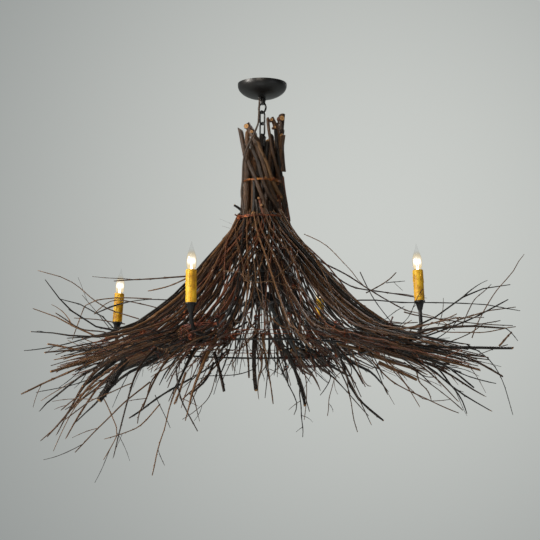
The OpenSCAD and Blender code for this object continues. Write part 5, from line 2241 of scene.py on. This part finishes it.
VINES = (
    (298, 250, 296, 256, 290.5, 264.6, 283, 271, 276.8, 276, 267.6, 280.7, 250.4, 282, 245, 275),
    (223, 271, 232, 271, 239, 272, 243.5, 277, 250, 284, 257, 288, 264, 296, 271, 302.5),
    (244, 280, 256, 283, 267.6, 281.8, 277, 283, 286, 285.3, 297, 288, 306, 293),
    (258.4, 236, 252, 247, 245, 256, 240, 262, 233, 268, 224, 274),
    (262, 262, 258, 270, 252, 276, 246, 277, 243, 271, 246, 262, 252, 254, 262, 248),
)


@dataclass
class Surface:
    """The outside of the skirt's flare, as the camera sees it."""

    skirt: Skirt
    camera: Camera
    hem: tuple[float, float] = (-700.0, 352.0)

    def __post_init__(self) -> None:
        """Works out the flare's outline as height and radius."""
        flare = self.skirt.flare
        points = [self.skirt.flare_point(j, 0) for j in range(len(flare))]
        settled = [self.skirt.neck.settled(Vector((r, 0, z))) for r, z in points]
        self.outline = sorted([(p.z, p.x) for p in settled] + [self.hem])

    def at(self, px: float, py: float, out: float) -> Vector:
        """Gives the place on the front of the flare that a picture point shows."""
        return self.camera.on_shell(px, py, self.outline, out, -100.0, 4.0, 8)

    def vines(self) -> list[Twig]:
        """Lays the vines that are woven round the flare.

        Returns:
            The vines.
        """
        return [
            Twig([self.at(*q, 4) for q in pairs(route)], 2.5, 1.6, 0, WHIP, 0.6, 1.0 * i, 5, 0.6)
            for i, route in enumerate(VINES)
        ]


# Trunk, wires, candles, cord


@dataclass(frozen=True)
class Hero:
    """A stick of the trunk's front as the photograph shows it: its route, thickness and depth."""

    route: tuple[float, ...]
    thick: float
    low_thick: float
    tone: float
    out: float = 0.0
    bark: Tone = THICK
    growth: Growth = STICK


HEROES = (
    Hero((240, 127, 244.5, 151, 249, 163, 255.7, 178, 263, 198.6, 269, 218, 274, 232), 13, 11, 0.45, 4),
    Hero((246.5, 124, 253, 134.5, 259, 150, 264, 166, 268, 182, 275, 200, 282, 216), 17, 12, 0.5, 0),
    Hero((250.5, 139, 252.8, 149, 258, 161, 262, 177, 268, 192, 276, 206, 283, 220), 12, 11, 0.35, 3),
    Hero((257, 141, 261, 152, 266.4, 163, 272.5, 181, 278, 192, 283, 200), 12, 10, 0.7, 2, VINE),
    Hero((267.7, 117.4, 268.6, 128, 270.5, 140, 273, 153, 277, 170, 281, 184, 286, 204), 8, 8, 0.5, 2),
    Hero((271.4, 117, 274.5, 124, 277, 131, 278.2, 142, 280, 156, 282, 172), 11, 13, 0.6, 0, growth=PRUNED),
    Hero((282, 114, 281, 125, 280.3, 136, 281.2, 150, 283, 168, 283.6, 172.5), 17, 13, 0.4, -4),
    Hero((275.5, 128, 276.4, 142, 278.4, 158, 281, 174, 283.4, 190, 287, 210), 9, 9, 0.25, 1, DARK),
    Hero((247.6, 148, 247, 164, 246.8, 180, 246.3, 196, 246, 214, 244.5, 228), 15, 20, 0.55, 0),
    Hero((243.5, 186, 242.5, 198, 241.5, 212, 239, 226), 7, 8, 0.4, 2, DARK),
    Hero((282.5, 176, 284, 190, 286.5, 206, 289, 222), 8, 9, 0.55, 2, RED),
    # painted shade: this near-black stick, set 5 mm back, stands in for the deep shadow in a gap of the
    # trunk's front
    Hero((254, 176, 254.6, 190, 254, 204, 252.5, 222), 8, 9, 0.05, -5, DARK),
    Hero((259, 197, 261, 206, 264, 216, 267, 230), 7, 7, 0.8, 4, RED),
    Hero((256, 199, 257.5, 210, 259, 222, 260, 236), 7, 7, 0.3, 3, DARK),
    Hero((278, 194, 280, 204, 284, 216, 290, 230), 8, 8, 0.7, 3, RED),
    Hero((233.8, 205, 238, 207.5, 243, 212), 6, 7, 0.1, 1, DARK),
    Hero((279, 184, 282, 198, 285, 210, 288, 222), 10, 10, 0.35, -3, DARK),
)
STUBS = (
    ((253.2, 213), 10.5, 14), ((258.4, 198), 5.5, 14), ((261.4, 205), 6.0, 15), ((278.2, 200.5), 4.6, 13),
    ((281.2, 197), 5.0, 12), ((245.6, 223), 6.5, 12), ((284, 232), 6.5, 12), ((273, 236), 4.4, 12),
    ((265.5, 177), 4.6, 14), ((246.2, 126), 13.0, 9), ((282.2, 118), 14.0, 9), ((271.6, 119.5), 8.0, 7),
    ((274.8, 127), 7.0, 8), ((251.6, 131.5), 7.5, 11),
)


@dataclass
class Trunk:
    """The thick sticks of the trunk, with their cut ends and stubs."""

    iron: Iron
    camera: Camera
    stock: Stock
    palette: Palette
    waist: Route = ((-420, 40), (-356, 42), (-300, 41.5), (-260, 41), (-150, 43), (-80, 45))
    pinch: float = 6.0
    pinch_from_z: float = -290.0
    pinch_full_z: float = -350.0
    share_behind: float = 0.05
    core_count: int = 12
    core_r: float = 25.0
    core_low_z: float = -372.0

    def held_in(self, point: Vector) -> Vector:
        """Moves a point of a stick in as far as the lower wire pulls it.

        Args:
            point: the point.

        Returns:
            The moved point.
        """
        share = held((self.pinch_from_z - point.z) / (self.pinch_from_z - self.pinch_full_z), 0, 1)
        near = 1 - (1 + self.pinch * share) / hypot(point.x, point.y)
        return Vector((point.x * near, point.y * near, point.z))

    def stick(self, i: int) -> Piece:
        """Bends one stick of the back along its lean.

        Args:
            i: its number.

        Returns:
            The stick.
        """
        iron = self.iron
        low = iron.stick_low_z + 26 * rnd(i, 22)
        top = mix(iron.stick_top_z, iron.stick_top_z - 44, rnd(i, 21)) - 12
        heights = [mix(low, top, n / 8) for n in range(9)]
        line = smooth_line([self.held_in(iron.stick_point(i, z)) for z in heights], 2)
        r = iron.stick_sizes()[i] / 2 * vary(0.72, 0.98, i, 26)
        radii = [r * mix(0.94, 1.0, n / (len(line) - 1)) for n in range(len(line))]
        growth = PRUNED if rnd(i, 23) < 0.3 else STICK
        return self.stock.bend(growth, line, radii, self.palette.thick_bark, tau * rnd(i, 24), rnd(i, 25))

    def core(self, i: int) -> Piece:
        """Bends one of the inner sticks, between the centre tube and the outer ones.

        Args:
            i: its number.

        Returns:
            The stick.
        """
        az = 360 * (i + 0.3 * rnd(i, 31)) / self.core_count
        top = vary(-128, -160, i, 32)
        line = in_space(
            (self.core_r, mix(self.core_low_z, top, n / 6), az - 30 + 60 * n / 6) for n in range(7)
        )
        radii = [mix(6.5, 5.5, n / 12) for n in range(13)]
        return self.stock.bend(
            STICK, smooth_line(line, 2), radii, self.palette.dark_bark, tau * rnd(i, 33), rnd(i, 34)
        )

    def on_front(self, px: float, py: float, out: float) -> Vector:
        """Gives the place on the front of the trunk that a picture point shows."""
        return self.camera.on_shell(px, py, self.waist, out, -40.0, 1.0, 6)

    def hero(self, hero: Hero, i: int) -> Piece:
        """Bends one stick of the front.

        Args:
            hero: its measures.
            i: its number.

        Returns:
            The stick.
        """
        line = smooth_line([self.on_front(*q, hero.out) for q in pairs(hero.route)], 3)
        line.reverse()
        last = len(line) - 1
        radii = [
            mix(hero.low_thick, hero.thick, n / last) / 2 * (1 + 0.07 * (rnd(n + 9 * i, 41) - 0.5))
            for n in range(last + 1)
        ]
        bark = self.palette.bark(hero.bark)
        return self.stock.bend(hero.growth, line, radii, bark, tau * rnd(i, 42), hero.tone)

    def stub(self, place: tuple[float, float], thick: float, out: float, i: int) -> Piece:
        """Bends a short stub whose cut end looks out of the trunk.

        Args:
            place: its picture point.
            thick: its thickness.
            out: how far it stands out of the trunk.
            i: its number.

        Returns:
            The stub.
        """
        end = self.on_front(place[0], place[1], out)
        back = Vector((end.x * 0.85, end.y + 20.0, end.z + 1.0))
        line = [back.lerp(end, n / 4) for n in range(5)]
        return self.stock.bend(STICK, line, [thick / 2] * 5, self.palette.red_bark, 1.3 * i, 0.6)

    def build(self) -> Piece:
        """Builds all sticks as one piece.

        Returns:
            The trunk.
        """
        iron = self.iron
        behind = [i for i in range(iron.stick_count) if sin(radians(iron.stick_az(i))) > self.share_behind]
        sticks = [self.stick(i) for i in behind]
        sticks += [self.core(i) for i in range(self.core_count)]
        sticks += [self.hero(hero, i) for i, hero in enumerate(HEROES)]
        sticks += [self.stub(*stub, i) for i, stub in enumerate(STUBS)]
        piece = joined(sticks, "trunk_of_sticks")
        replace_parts(piece, "trunk_sticks")
        LOG.info("trunk_of_sticks: %d sticks, %d faces", len(sticks), len(piece.data.polygons))
        return piece


@dataclass
class CopperWork:
    """The copper wires: round the trunk, between the layers, on the bundles and on the hoop."""

    iron: Iron
    skirt: Skirt
    palette: Palette
    turn_steps: int = 40
    coil_steps: int = 14
    twist_steps: int = 12
    loop_steps: int = 28
    upper_r: float = 49.6
    upper_az: float = -60.0
    lower_az: float = -150.0
    bundle_loops: int = 7
    knot_off: tuple[float, ...] = (-4, -4, -4, 6)

    def drawn(self, lines: Sequence[Line], d: float, metal: Material, name: str) -> Piece:
        """Draws wires along lines.

        Args:
            lines: the lines, in millimetres.
            d: the wire's thickness.
            metal: its material.
            name: the piece's name.

        Returns:
            The wires as one mesh.
        """
        curve = bpy.data.curves.new(name, "CURVE")
        curve.dimensions = "3D"
        curve.bevel_depth = d / 2 * MM
        curve.bevel_resolution = 1
        curve.use_fill_caps = True
        curve.materials.append(metal)
        for line in lines:
            run_spline(curve, line)
        take(placed(name, curve))
        bpy.ops.object.convert(target="MESH")
        piece = bpy.context.object
        bpy.ops.object.mode_set(mode="EDIT")
        face_outwards(seams=True)
        bpy.ops.object.shade_smooth_by_angle(angle=radians(60))
        LOG.info("%s: %d wires, %d faces", name, len(lines), len(piece.data.polygons))
        return piece

    def round_wire(self, r: float, z: float, turns: float, start: float, climb: float, seed: float) -> Line:
        """Lays a wire round the axis that pulls in a little between what it goes over.

        Args:
            r: its radius.
            z: its height.
            turns: how often it goes round.
            start: the azimuth where it starts.
            climb: how far it climbs in a turn.
            seed: what makes its unevenness its own.

        Returns:
            The wire's line.
        """
        line = []
        for n in range(int(self.turn_steps * turns) + 1):
            az = start + 360 * n / self.turn_steps
            wide = r + 0.35 * sin(9 * radians(az) + seed) - 0.2
            up = z + climb * n / self.turn_steps + 0.5 * sin(2 * radians(az) + seed)
            line.append(around(az, wide, up))
        return line

    def twist(self, root: Vector, way: Vector, size: float, r: float, turns: float) -> list[Line]:
        """Lays the two ends of a wire, twisted round each other.

        Args:
            root: where they start.
            way: where they point.
            size: how long they are.
            r: the radius of the twist.
            turns: how often they go round.

        Returns:
            Two lines.
        """
        way = way.normalized()
        across, rise = side_ways(way)
        lines = []
        for side in (0, pi):
            line = []
            for n in range(int(self.twist_steps * turns) + 1):
                t = n / (self.twist_steps * turns)
                a = side + tau * turns * t
                wide = r * (1.5 if t > 0.9 else 1)
                line.append(root + way * size * t + (across * cos(a) + rise * sin(a)) * wide)
            lines.append(line)
        return lines

    def coil(self, middle: Vector, axis: Vector, r: float, turns: float, pitch: float, seed: float) -> Line:
        """Winds a wire round an axis, a little unevenly.

        Args:
            middle: its middle.
            axis: its axis.
            r: its radius.
            turns: how often it goes round.
            pitch: how far it moves on in a turn.
            seed: what makes its unevenness its own.

        Returns:
            The wire's line.
        """
        axis = axis.normalized()
        across, rise = side_ways(axis)
        line = []
        for n in range(int(self.coil_steps * turns) + 1):
            a = tau * n / self.coil_steps
            wide = r * (1 + 0.1 * sin(1.15 * a + seed))
            off = pitch * (n / self.coil_steps - turns / 2) + 0.5 * sin(a * 0.7 + seed)
            line.append(middle + axis * off + (across * cos(a) + rise * sin(a) * 0.92) * wide)
        return line

    def trunk_wires(self) -> list[Piece]:
        """Builds the upper and the lower wire of the trunk, with their twisted ends.

        Returns:
            The two wires.
        """
        iron = self.iron
        neck = self.skirt.neck
        upper_z = iron.upper_tie_z - neck.sink
        upper = [self.round_wire(self.upper_r, upper_z - 2.2, 2.2, 292, 2.4, 1)]
        knot = around(self.upper_az, self.upper_r, upper_z)
        upper += self.twist(knot, Vector((0.7, -0.6, 0.3)), 10, 1.0, 3)
        upper.append(self.coil(knot + Vector((0.5, -0.6, 1)), Vector((1, 0.7, 0)), 2.6, 3, 1.8, 2))
        lower_z = iron.lower_tie_z - neck.sink
        lower_r = iron.neck_r - neck.pull + iron.long_twig_d / 2 + 5.4
        lower = [self.round_wire(lower_r, lower_z - 1, 2.2, 170, 2.3, 4)]
        place = around(self.lower_az, lower_r, lower_z + 1)
        lower.append(self.coil(place, Vector((0.3, -0.5, 1)), 4.2, 6, 1.9, 3))
        lower.append(self.coil(place + Vector((3, -2, 3)), Vector((1, -0.5, 0.4)), 3.6, 4, 1.9, 5))
        lower += self.twist(place, Vector((-0.8, -0.6, 0.5)), 14, 1.1, 3)
        lower += self.twist(place, Vector((0.1, -0.8, -0.9)), 14, 1.1, 3)
        pieces = [
            self.drawn(upper, iron.wire_d, self.palette.gold_wire, "upper_wire"),
            self.drawn(lower, iron.wire_d, self.palette.copper, "lower_wire"),
        ]
        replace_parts(pieces[0], "upper_tie")
        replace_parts(pieces[1], "lower_tie")
        return pieces

    def layer_wires(self) -> Piece:
        """Builds the wires between the layers, round the third layer's start and on the hoop.

        Returns:
            The wires.
        """
        iron, skirt = self.iron, self.skirt
        under = iron.gap + iron.wire_d / 2
        r, z = skirt.flare_point(2, skirt.inner_depth[2] + iron.long_twig_d / 2 + iron.gap + under)
        low_z = iron.low_cross_z - iron.cross_twig_d / 2 - under
        high_z = iron.high_cross_z - iron.cross_twig_d / 2 - under
        lines = [[skirt.neck.settled(p) for p in self.round_wire(r - 3, z, 2, 40, 1.4, 2)]]
        for level, start in ((low_z, 10), (high_z, 130)):
            for turn in range(2):
                r = iron.hoop_r + 1.2 + 2.4 * turn
                lines.append(self.round_wire(r, level, 1, start, 0, start + turn))
        piece = self.drawn(lines, iron.wire_d, self.palette.copper, "layer_wires")
        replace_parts(piece, "layer_ties")
        return piece

    def bundle_loop(self, k: int, r: float, seed: float, tight: float) -> Line:
        """Lays one loop of wire round everything beside an arm.

        Args:
            k: the arm.
            r: how far out it lies.
            seed: what makes its unevenness its own.
            tight: its height, as a share of the skirt's.

        Returns:
            The wire's line.
        """
        skirt, iron = self.skirt, self.iron
        line = []
        for n in range(self.loop_steps + 1):
            a = radians(200 + 360 * n / self.loop_steps)
            c = held(1.3 * cos(a), -1, 1)
            s = held(1.3 * sin(a), -1, 1)
            az = iron.arm_az(k) + skirt.bundle_half * (0.62 + 0.2 * rnd(seed, 611)) * c
            wide = r + 1.5 * sin(3 * a + seed)
            top = skirt.top[0][1] + (skirt.bundle_r - wide) * 0.42 - 13 + 5 * rnd(seed, 612)
            low = skirt.low[0][1] + (skirt.bundle_r - wide) * 0.3 + 2 - 5 * rnd(seed, 613)
            line.append(around(az, wide, mix(low, top, (1 + s * tight) / 2)))
        return line

    def bundle_wires(self) -> Piece:
        """Builds the windings round the four bundles, with twisted ends on top.

        Returns:
            The wires.
        """
        iron = self.iron
        lines: list[Line] = []
        for k in range(4):
            for n in range(self.bundle_loops):
                r = self.skirt.bundle_r - 8 + 3.0 * n + 2 * rnd(n, 600 + k)
                lines.append(self.bundle_loop(k, r, n + k, vary(0.94, 1.03, n, 610 + k)))
            out = around(iron.arm_az(k) + self.knot_off[k])
            root = out * self.skirt.bundle_r + Vector((0, 0, self.skirt.top[0][1] + 5))
            lines += self.twist(root, out * 0.4 + Vector((0, 0, 1)), 20, 1.2, 4)
            lines += self.twist(root + out * 6, Vector((out.y, -out.x, -0.5)), 24, 1.2, 4)
            lines.append(self.coil(root, Vector((out.y, -out.x, 0.1)), 4.5, 5, 2.0, k))
        piece = self.drawn(lines, iron.wire_d, self.palette.rusty_wire, "bundle_wires")
        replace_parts(piece, "bundle_ties")
        return piece

    def hoop_wraps(self) -> Piece:
        """Builds the many small windings that hold twigs to the hoop and to each other.

        Returns:
            The windings.
        """
        iron = self.iron
        lines: list[Line] = []
        places = []
        for i, slot in enumerate(self.skirt.layer_slots(*HOOP.lanes, HOOP.seed)):
            places.append((slot[0], iron.hoop_r, iron.hoop_z + 4, 8.5, 4))
            if rnd(i, 620) < 0.75:
                places.append((slot[0] + 4, vary(300, 450, i, 621), 0.0, 4.6, 5))
        for i, slot in enumerate(self.skirt.layer_slots(1, 4, 177)):
            r = vary(150, 300, i, 622)
            places.append((slot[0], r, mix(-545, -648, (r - 150) / 150), 4.6, 5))
        for i, (az, r, z, size, turns) in enumerate(places):
            level = z or self.skirt.skirt_z(r, rnd(i, 623))
            out = around(az)
            along = Vector((-out.y, out.x, 0)) if r == iron.hoop_r else out + Vector((0, 0, -0.5))
            root = out * r + Vector((0, 0, level))
            lines.append(self.coil(root, along, size * vary(0.85, 1.15, i, 624), turns, 1.9, i))
            way = Vector((2 * rnd(i, 625) - 1, 2 * rnd(i, 626) - 1, 2 * rnd(i, 627) - 0.8))
            lines += self.twist(root + way.normalized() * size, way, vary(8, 20, i, 628), 1.1, 3)
        return self.drawn(lines, iron.wire_d, self.palette.copper, "twig_wraps")


@dataclass
class Candles:
    """The lit bulbs of the four candles."""

    iron: Iron
    palette: Palette
    base_d: float = 11.8
    bulb_r: float = 12.0
    bulb_h: float = 68.0
    sides: int = 36

    def outline(self) -> list[tuple[float, float]]:
        """Gives the outline of the glass as radius and height: a round belly drawn out to a point.

        Returns:
            The outline, from below.
        """
        r, h = self.bulb_r, self.bulb_h
        neck = self.base_d / 2 - 0.4
        belly = ((neck, 0.0), (r * 0.84, 4.0), (r, h * 0.18), (r, h * 0.33))
        flame = ((r, h * 0.33), (r, h * 0.56), (r * 0.27, h * 0.74), (0.9, h))

        def on_curve(p: Route, t: float) -> tuple[float, float]:
            """Gives a point of a curve with four handles."""
            w = ((1 - t) ** 3, 3 * t * (1 - t) ** 2, 3 * t * t * (1 - t), t**3)
            return (sum(a * q[0] for a, q in zip(w, p)), sum(a * q[1] for a, q in zip(w, p)))

        return [on_curve(belly, i / 9) for i in range(10)] + [on_curve(flame, i / 16) for i in range(1, 17)]

    def glass(self, k: int) -> Piece:
        """Models one glass: a ring drawn up and narrowed along the outline.

        Args:
            k: the arm.

        Returns:
            The glass.
        """
        outline = self.outline()
        drop_selection()
        bpy.ops.mesh.primitive_circle_add(vertices=self.sides, radius=outline[0][0], fill_type="NGON")
        piece = bpy.context.object
        piece.name = "bulb_glass_" + SIDES[k]
        bpy.ops.object.mode_set(mode="EDIT")
        bpy.ops.mesh.select_all(action="SELECT")
        for (r0, z0), (r1, z1) in zip(outline, outline[1:]):
            bpy.ops.mesh.extrude_region_move(TRANSFORM_OT_translate={"value": (0, 0, z1 - z0)})
            bpy.ops.transform.resize(value=(r1 / r0, r1 / r0, 1))
        face_outwards()
        bpy.ops.object.shade_smooth_by_angle(angle=radians(50))
        mark(piece, "rise", "FLOAT", [v.co.z / self.bulb_h for v in piece.data.vertices])
        lift = self.iron.cup_h + self.iron.sleeve_h - self.iron.lampholder_drop + 3
        piece.data.transform(self.iron.at_candle(k) @ Matrix.Translation((0, 0, lift)))
        piece.data.materials.append(self.palette.glass)
        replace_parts(piece, "bulb_" + SIDES[k])
        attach(piece, f"bulb_{SIDES[k]}_set")
        LOG.info("%s: %d faces", piece.name, len(piece.data.polygons))
        return piece


@dataclass(frozen=True)
class Stretch:
    """One stretch of the supply cord: its ends as heights, and the bodies that it joins."""

    name: str
    top: float
    low: float
    upper: str
    lower: str


CORD_ROUTE = (
    (-7, -14.5, -24), (-7, -14.5, -46), (-8, -15, -70), (-9, -17, -92), (-10, -28, -110),
    (-13, -46, -124), (-17, -61, -138), (-27, -59, -158), (-38, -48, -178), (-46, -37, -200),
    (-49, -32, -230), (-50, -31, -262), (-53, -32, -295), (-53, -35, -322), (-50.5, -37.5, -345),
    (-51, -38, -366), (-50, -38, -388), (-44, -34, -408), (-35, -27, -428), (-27, -21, -450),
    (-20, -16, -482), (-17, -13, -515), (-17, -13, -545.5),
)
STRETCHES = (
    Stretch("cord_at_canopy", -24, -92, "ceiling_set", "link_1"),
    Stretch("cord_at_first_link", -92, -123, "link_1", "link_2"),
    Stretch("cord_at_second_link", -123, -153, "link_2", "link_3"),
    Stretch("cord_at_third_link", -153, -186, "link_3", "pendant"),
    Stretch("cord_on_trunk", -186, -545.5, "pendant", "pendant"),
)


@dataclass
class SupplyCord:
    """The braided cord: down beside the chain, over the trunk and in under the lower wire."""

    neck: Neck
    stock: Stock
    palette: Palette
    d: float = 5.0
    strands: float = 6.0
    lay: float = 5.0

    def line(self, top: float, low: float) -> Line:
        """Gives the cord's line between two heights.

        Args:
            top: the upper height.
            low: the lower height.

        Returns:
            The line, in millimetres.
        """
        whole = smooth_line([self.drawn_in(Vector(p)) for p in CORD_ROUTE], 8)
        inside = [p for p in whole if low - 1e-6 <= p.z <= top + 1e-6]

        def cut(z: float) -> Vector:
            """Finds the line's point at a height.

            Args:
                z: the height.

            Returns:
                The point.
            """
            for a, b in zip(whole, whole[1:]):
                if b.z <= z <= a.z:
                    return a.lerp(b, (a.z - z) / max(1e-9, a.z - b.z))
            return whole[-1]

        ends = (cut(top), cut(low))
        middle = [p for p in inside if min((p - e).length for e in ends) > 0.8]
        return [ends[0], *middle, ends[1]]

    def drawn_in(self, point: Vector) -> Vector:
        """Moves a point of the route in by what the lower wire pulls, at its own height.

        Args:
            point: the point.

        Returns:
            The moved point.
        """
        share = self.neck.share(point.z) if point.z < -300 else 0.0
        near = 1 - self.neck.pull * share / hypot(point.x, point.y)
        return Vector((point.x * near, point.y * near, point.z))

    def build(self) -> list[Piece]:
        """Builds the five stretches.

        Returns:
            The stretches, from above.
        """
        pieces = []
        for stretch in STRETCHES:
            line = self.line(stretch.top, stretch.low)
            piece = self.stock.bend(CORD, line, [self.d / 2] * len(line), self.palette.cord)
            piece.name = stretch.name
            size = length_of(line)
            coil: list[float] = []
            for v in self.stock.rest[CORD]:
                coil += (v.x * size / self.lay, atan2(v.z, v.y) / tau * self.strands, 0.0)
            mark(piece, "coil", "FLOAT_VECTOR", coil)
            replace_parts(piece, "supply_cord")
            if stretch.upper == stretch.lower:
                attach(piece, stretch.upper)
            else:
                start = line[len(line) // 4] * MM
                end = line[3 * len(line) // 4] * MM
                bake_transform(piece)
            pieces.append(piece)
            LOG.info("%s: %.0f mm", stretch.name, size)
        return pieces


@dataclass
class Ironwork:
    """The pieces that keep the part's own meshes and only get their finishes."""

    nodes: dict[str, Piece]
    palette: Palette
    black: tuple[str, ...] = (
        "canopy", "canopy_loop", "chain_link_1", "chain_link_2", "chain_link_3", "hanger_eye", "stem",
        "upper_ring", "lower_ring", "curtain_ring", "hub", "hub_cover", "finial", "hoop",
    )

    def paint(self, name: str, material: Material) -> None:
        """Gives every slot of a node one material.

        Args:
            name: the node's name.
            material: the material.
        """
        mesh = self.nodes[name].data
        if not mesh.materials:
            mesh.materials.append(material)
        for i in range(len(mesh.materials)):
            mesh.materials[i] = material

    def build(self) -> None:
        """Finishes every node that is shown."""
        p = self.palette
        for material, names in (
            (p.zinc, ("crossbar", "locknut")),
            (p.brass, ("nipple", *(f"bulb_base_{side}" for side in SIDES))),
            (p.iron, (*self.black, *(start + side for start in ("arm_", "cup_") for side in SIDES))),
            (p.green, ("ground_screw",)),
            (p.bushing, ("cord_bushing",)),
            (p.holder, [f"lampholder_{side}" for side in SIDES]),
            (p.wax, [f"sleeve_{side}" for side in SIDES]),
            (p.filament, [f"filament_{side}" for side in SIDES]),
        ):
            for name in names:
                self.paint(name, material)


@dataclass(frozen=True)
class Lamp:
    """A soft disc of light: where it hangs and how wide it is in metres, its watts and its colour."""

    name: str
    place: tuple[float, float, float]
    size: float
    power: float
    warm: str

    def hang(self, aim: Sequence[float]) -> None:
        """Hangs the lamp so that it looks at a place.

        Args:
            aim: the place.
        """
        data = bpy.data.lights.new(self.name, "AREA")
        data.shape = "DISK"
        data.size = self.size
        data.energy = self.power
        data.color = ink(self.warm)[:3]
        lamp = placed(self.name, data)
        lamp.location = self.place
        lamp.rotation_euler = (Vector(aim) - Vector(self.place)).to_track_quat("-Z", "Y").to_euler()


@dataclass
class Studio:
    """The pale floor and backdrop, and soft lamps at a plain level."""

    floor_z: float = -2600.0
    floor_size: float = 60000.0
    back_y: float = 7500.0
    back_z: float = 8000.0
    back_size: float = 40000.0
    light: str = "cacdc9"
    dark: str = "8e9291"
    plain: str = "c3c8c5"
    pool: tuple[float, float, float] = (0.85, 7.5, 0.95)
    reach: float = 5.0
    floor_even: float = 0.7
    soft_sky: float = 0.08
    aim: tuple[float, float, float] = (0.0, 0.0, -0.55)
    lamps: tuple[Lamp, ...] = (
        Lamp("key", (-3.5, -1.5, 0.9), 1.1, 190, "fffaf2"),
        Lamp("front", (-0.9, -3.7, 1.5), 2.0, 74, "fff4e4"),
        Lamp("fill", (3.2, -3.0, -0.3), 2.4, 12, "f4f8ff"),
        Lamp("rim", (1.6, 2.8, 2.2), 1.8, 80, "ffffff"),
        Lamp("under", (-0.6, -2.2, -2.3), 2.0, 8, "ffffff"),
    )

    def sheet(
        self, name: str, size: float, place: Sequence[float], turn: float, paper: StudioPaper
    ) -> None:
        """Stands a large sheet of paper in the studio.

        Args:
            name: the sheet's name.
            size: its width, in millimetres.
            place: its middle, in millimetres.
            turn: how far it is turned about X, in radians.
            paper: what it is made of.
        """
        drop_selection()
        bpy.ops.mesh.primitive_grid_add(x_subdivisions=12, y_subdivisions=12, size=size * MM)
        piece = bpy.context.object
        piece.name = name
        piece.data.transform(Matrix.Translation(Vector(place) * MM) @ Matrix.Rotation(turn, 4, "X"))
        piece.data.materials.append(paper.make())
        piece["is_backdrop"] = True

    def sky(self) -> None:
        """Makes the world: a little soft light for the pieces, and the plain colour for the camera."""
        world = bpy.data.worlds.new("studio")
        bpy.context.scene.world = world
        world.use_nodes = True
        tree = world.node_tree
        tree.nodes.clear()
        both = tree.nodes.new("ShaderNodeMixShader")
        rays = tree.nodes.new("ShaderNodeLightPath")
        tree.links.new(rays.outputs["Is Camera Ray"], both.inputs[0])
        for n, colour, strength in ((1, (1, 1, 1, 1), self.soft_sky), (2, ink(self.plain), 1.0)):
            glow = tree.nodes.new("ShaderNodeBackground")
            glow.inputs["Color"].default_value = colour
            glow.inputs["Strength"].default_value = strength
            tree.links.new(glow.outputs[0], both.inputs[n])
        out = tree.nodes.new("ShaderNodeOutputWorld")
        tree.links.new(both.outputs[0], out.inputs["Surface"])

    def build(self) -> None:
        """Sets up the studio."""
        floor_paper = StudioPaper("floor", self.plain, self.plain, even=self.floor_even)
        self.sheet("floor", self.floor_size, (0, 0, self.floor_z), 0, floor_paper)
        back_paper = StudioPaper("backdrop", self.dark, self.light, self.pool, self.reach)
        self.sheet("backdrop", self.back_size, (0, self.back_y, self.back_z), pi / 2, back_paper)
        for lamp in self.lamps:
            lamp.hang(self.aim)
        self.sky()
        bpy.context.scene.view_settings.view_transform = "Standard"


def main() -> None:
    """Builds the chandelier's looks, class by class."""
    logging.basicConfig(level=logging.INFO, format="%(message)s", stream=sys.stdout)
    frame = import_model()
    cad_low, cad_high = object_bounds()
    camera = Camera()
    camera.make()
    iron = Iron()
    palette = Palette()
    stock = Stock(palette)
    skirt = Skirt(iron)
    weaver = Weaver(stock, cad_low / MM, cad_high / MM)
    for name, node, twigs, tones in (
        ("outer_twig_layer", "outer_twigs", skirt.outer_layer(), (DARK, THICK)),
        ("inner_twig_layer", "inner_twigs", skirt.inner_layer(), (RED, DARK)),
        ("third_twig_layer", "third_twigs", skirt.third_layer(), (DARK, RED)),
        ("hoop_twig_layer", "hoop_twigs", skirt.hoop_layer(), (DARK, THICK)),
        ("low_cross_layer", "low_cross_twigs", skirt.low_cross_layer(), (RED, DARK)),
        ("high_cross_layer", "high_cross_twigs", skirt.high_cross_layer(), (DARK, THICK)),
        ("curtain_layer", "curtain_twigs", skirt.curtain_layer(), (RED, DARK)),
    ):
        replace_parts(weaver.weave(twigs, name, tones, tones[0]), node)
    for k, side in enumerate(SIDES):
        weaver.weave(skirt.bundle_fill(k), f"bundle_fill_{side}", (DARK, RED, THICK), DARK)
    weaver.weave(skirt.neck_fill(), "neck_fill", (DARK, RED, THICK), DARK)
    weaver.weave(skirt.low_fill(), "low_fill", (DARK, RED), DARK)
    strays = [stray.twig(camera, i) for i, stray in enumerate(STRAYS)]
    weaver.weave(strays, "stray_twigs", (DARK, THICK), DARK)
    weaver.weave(Surface(skirt, camera).vines(), "woven_vines", (VINE,), RED, False)
    weaver.weave(weaver.shoots(), "fine_shoots", (DARK, RED), RED, False)
    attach(Trunk(iron, camera, stock, palette).build(), "pendant")
    wires = CopperWork(iron, skirt, palette)
    for piece in (*wires.trunk_wires(), wires.layer_wires(), wires.bundle_wires(), wires.hoop_wraps()):
        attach(piece, "pendant")
    candles = Candles(iron, palette)
    for k in range(4):
        candles.glass(k)
    SupplyCord(skirt.neck, stock, palette).build()
    stock.close()
    Ironwork(frame["nodes"], palette).build()
    Studio().build()


if __name__ == "__main__":
    main()
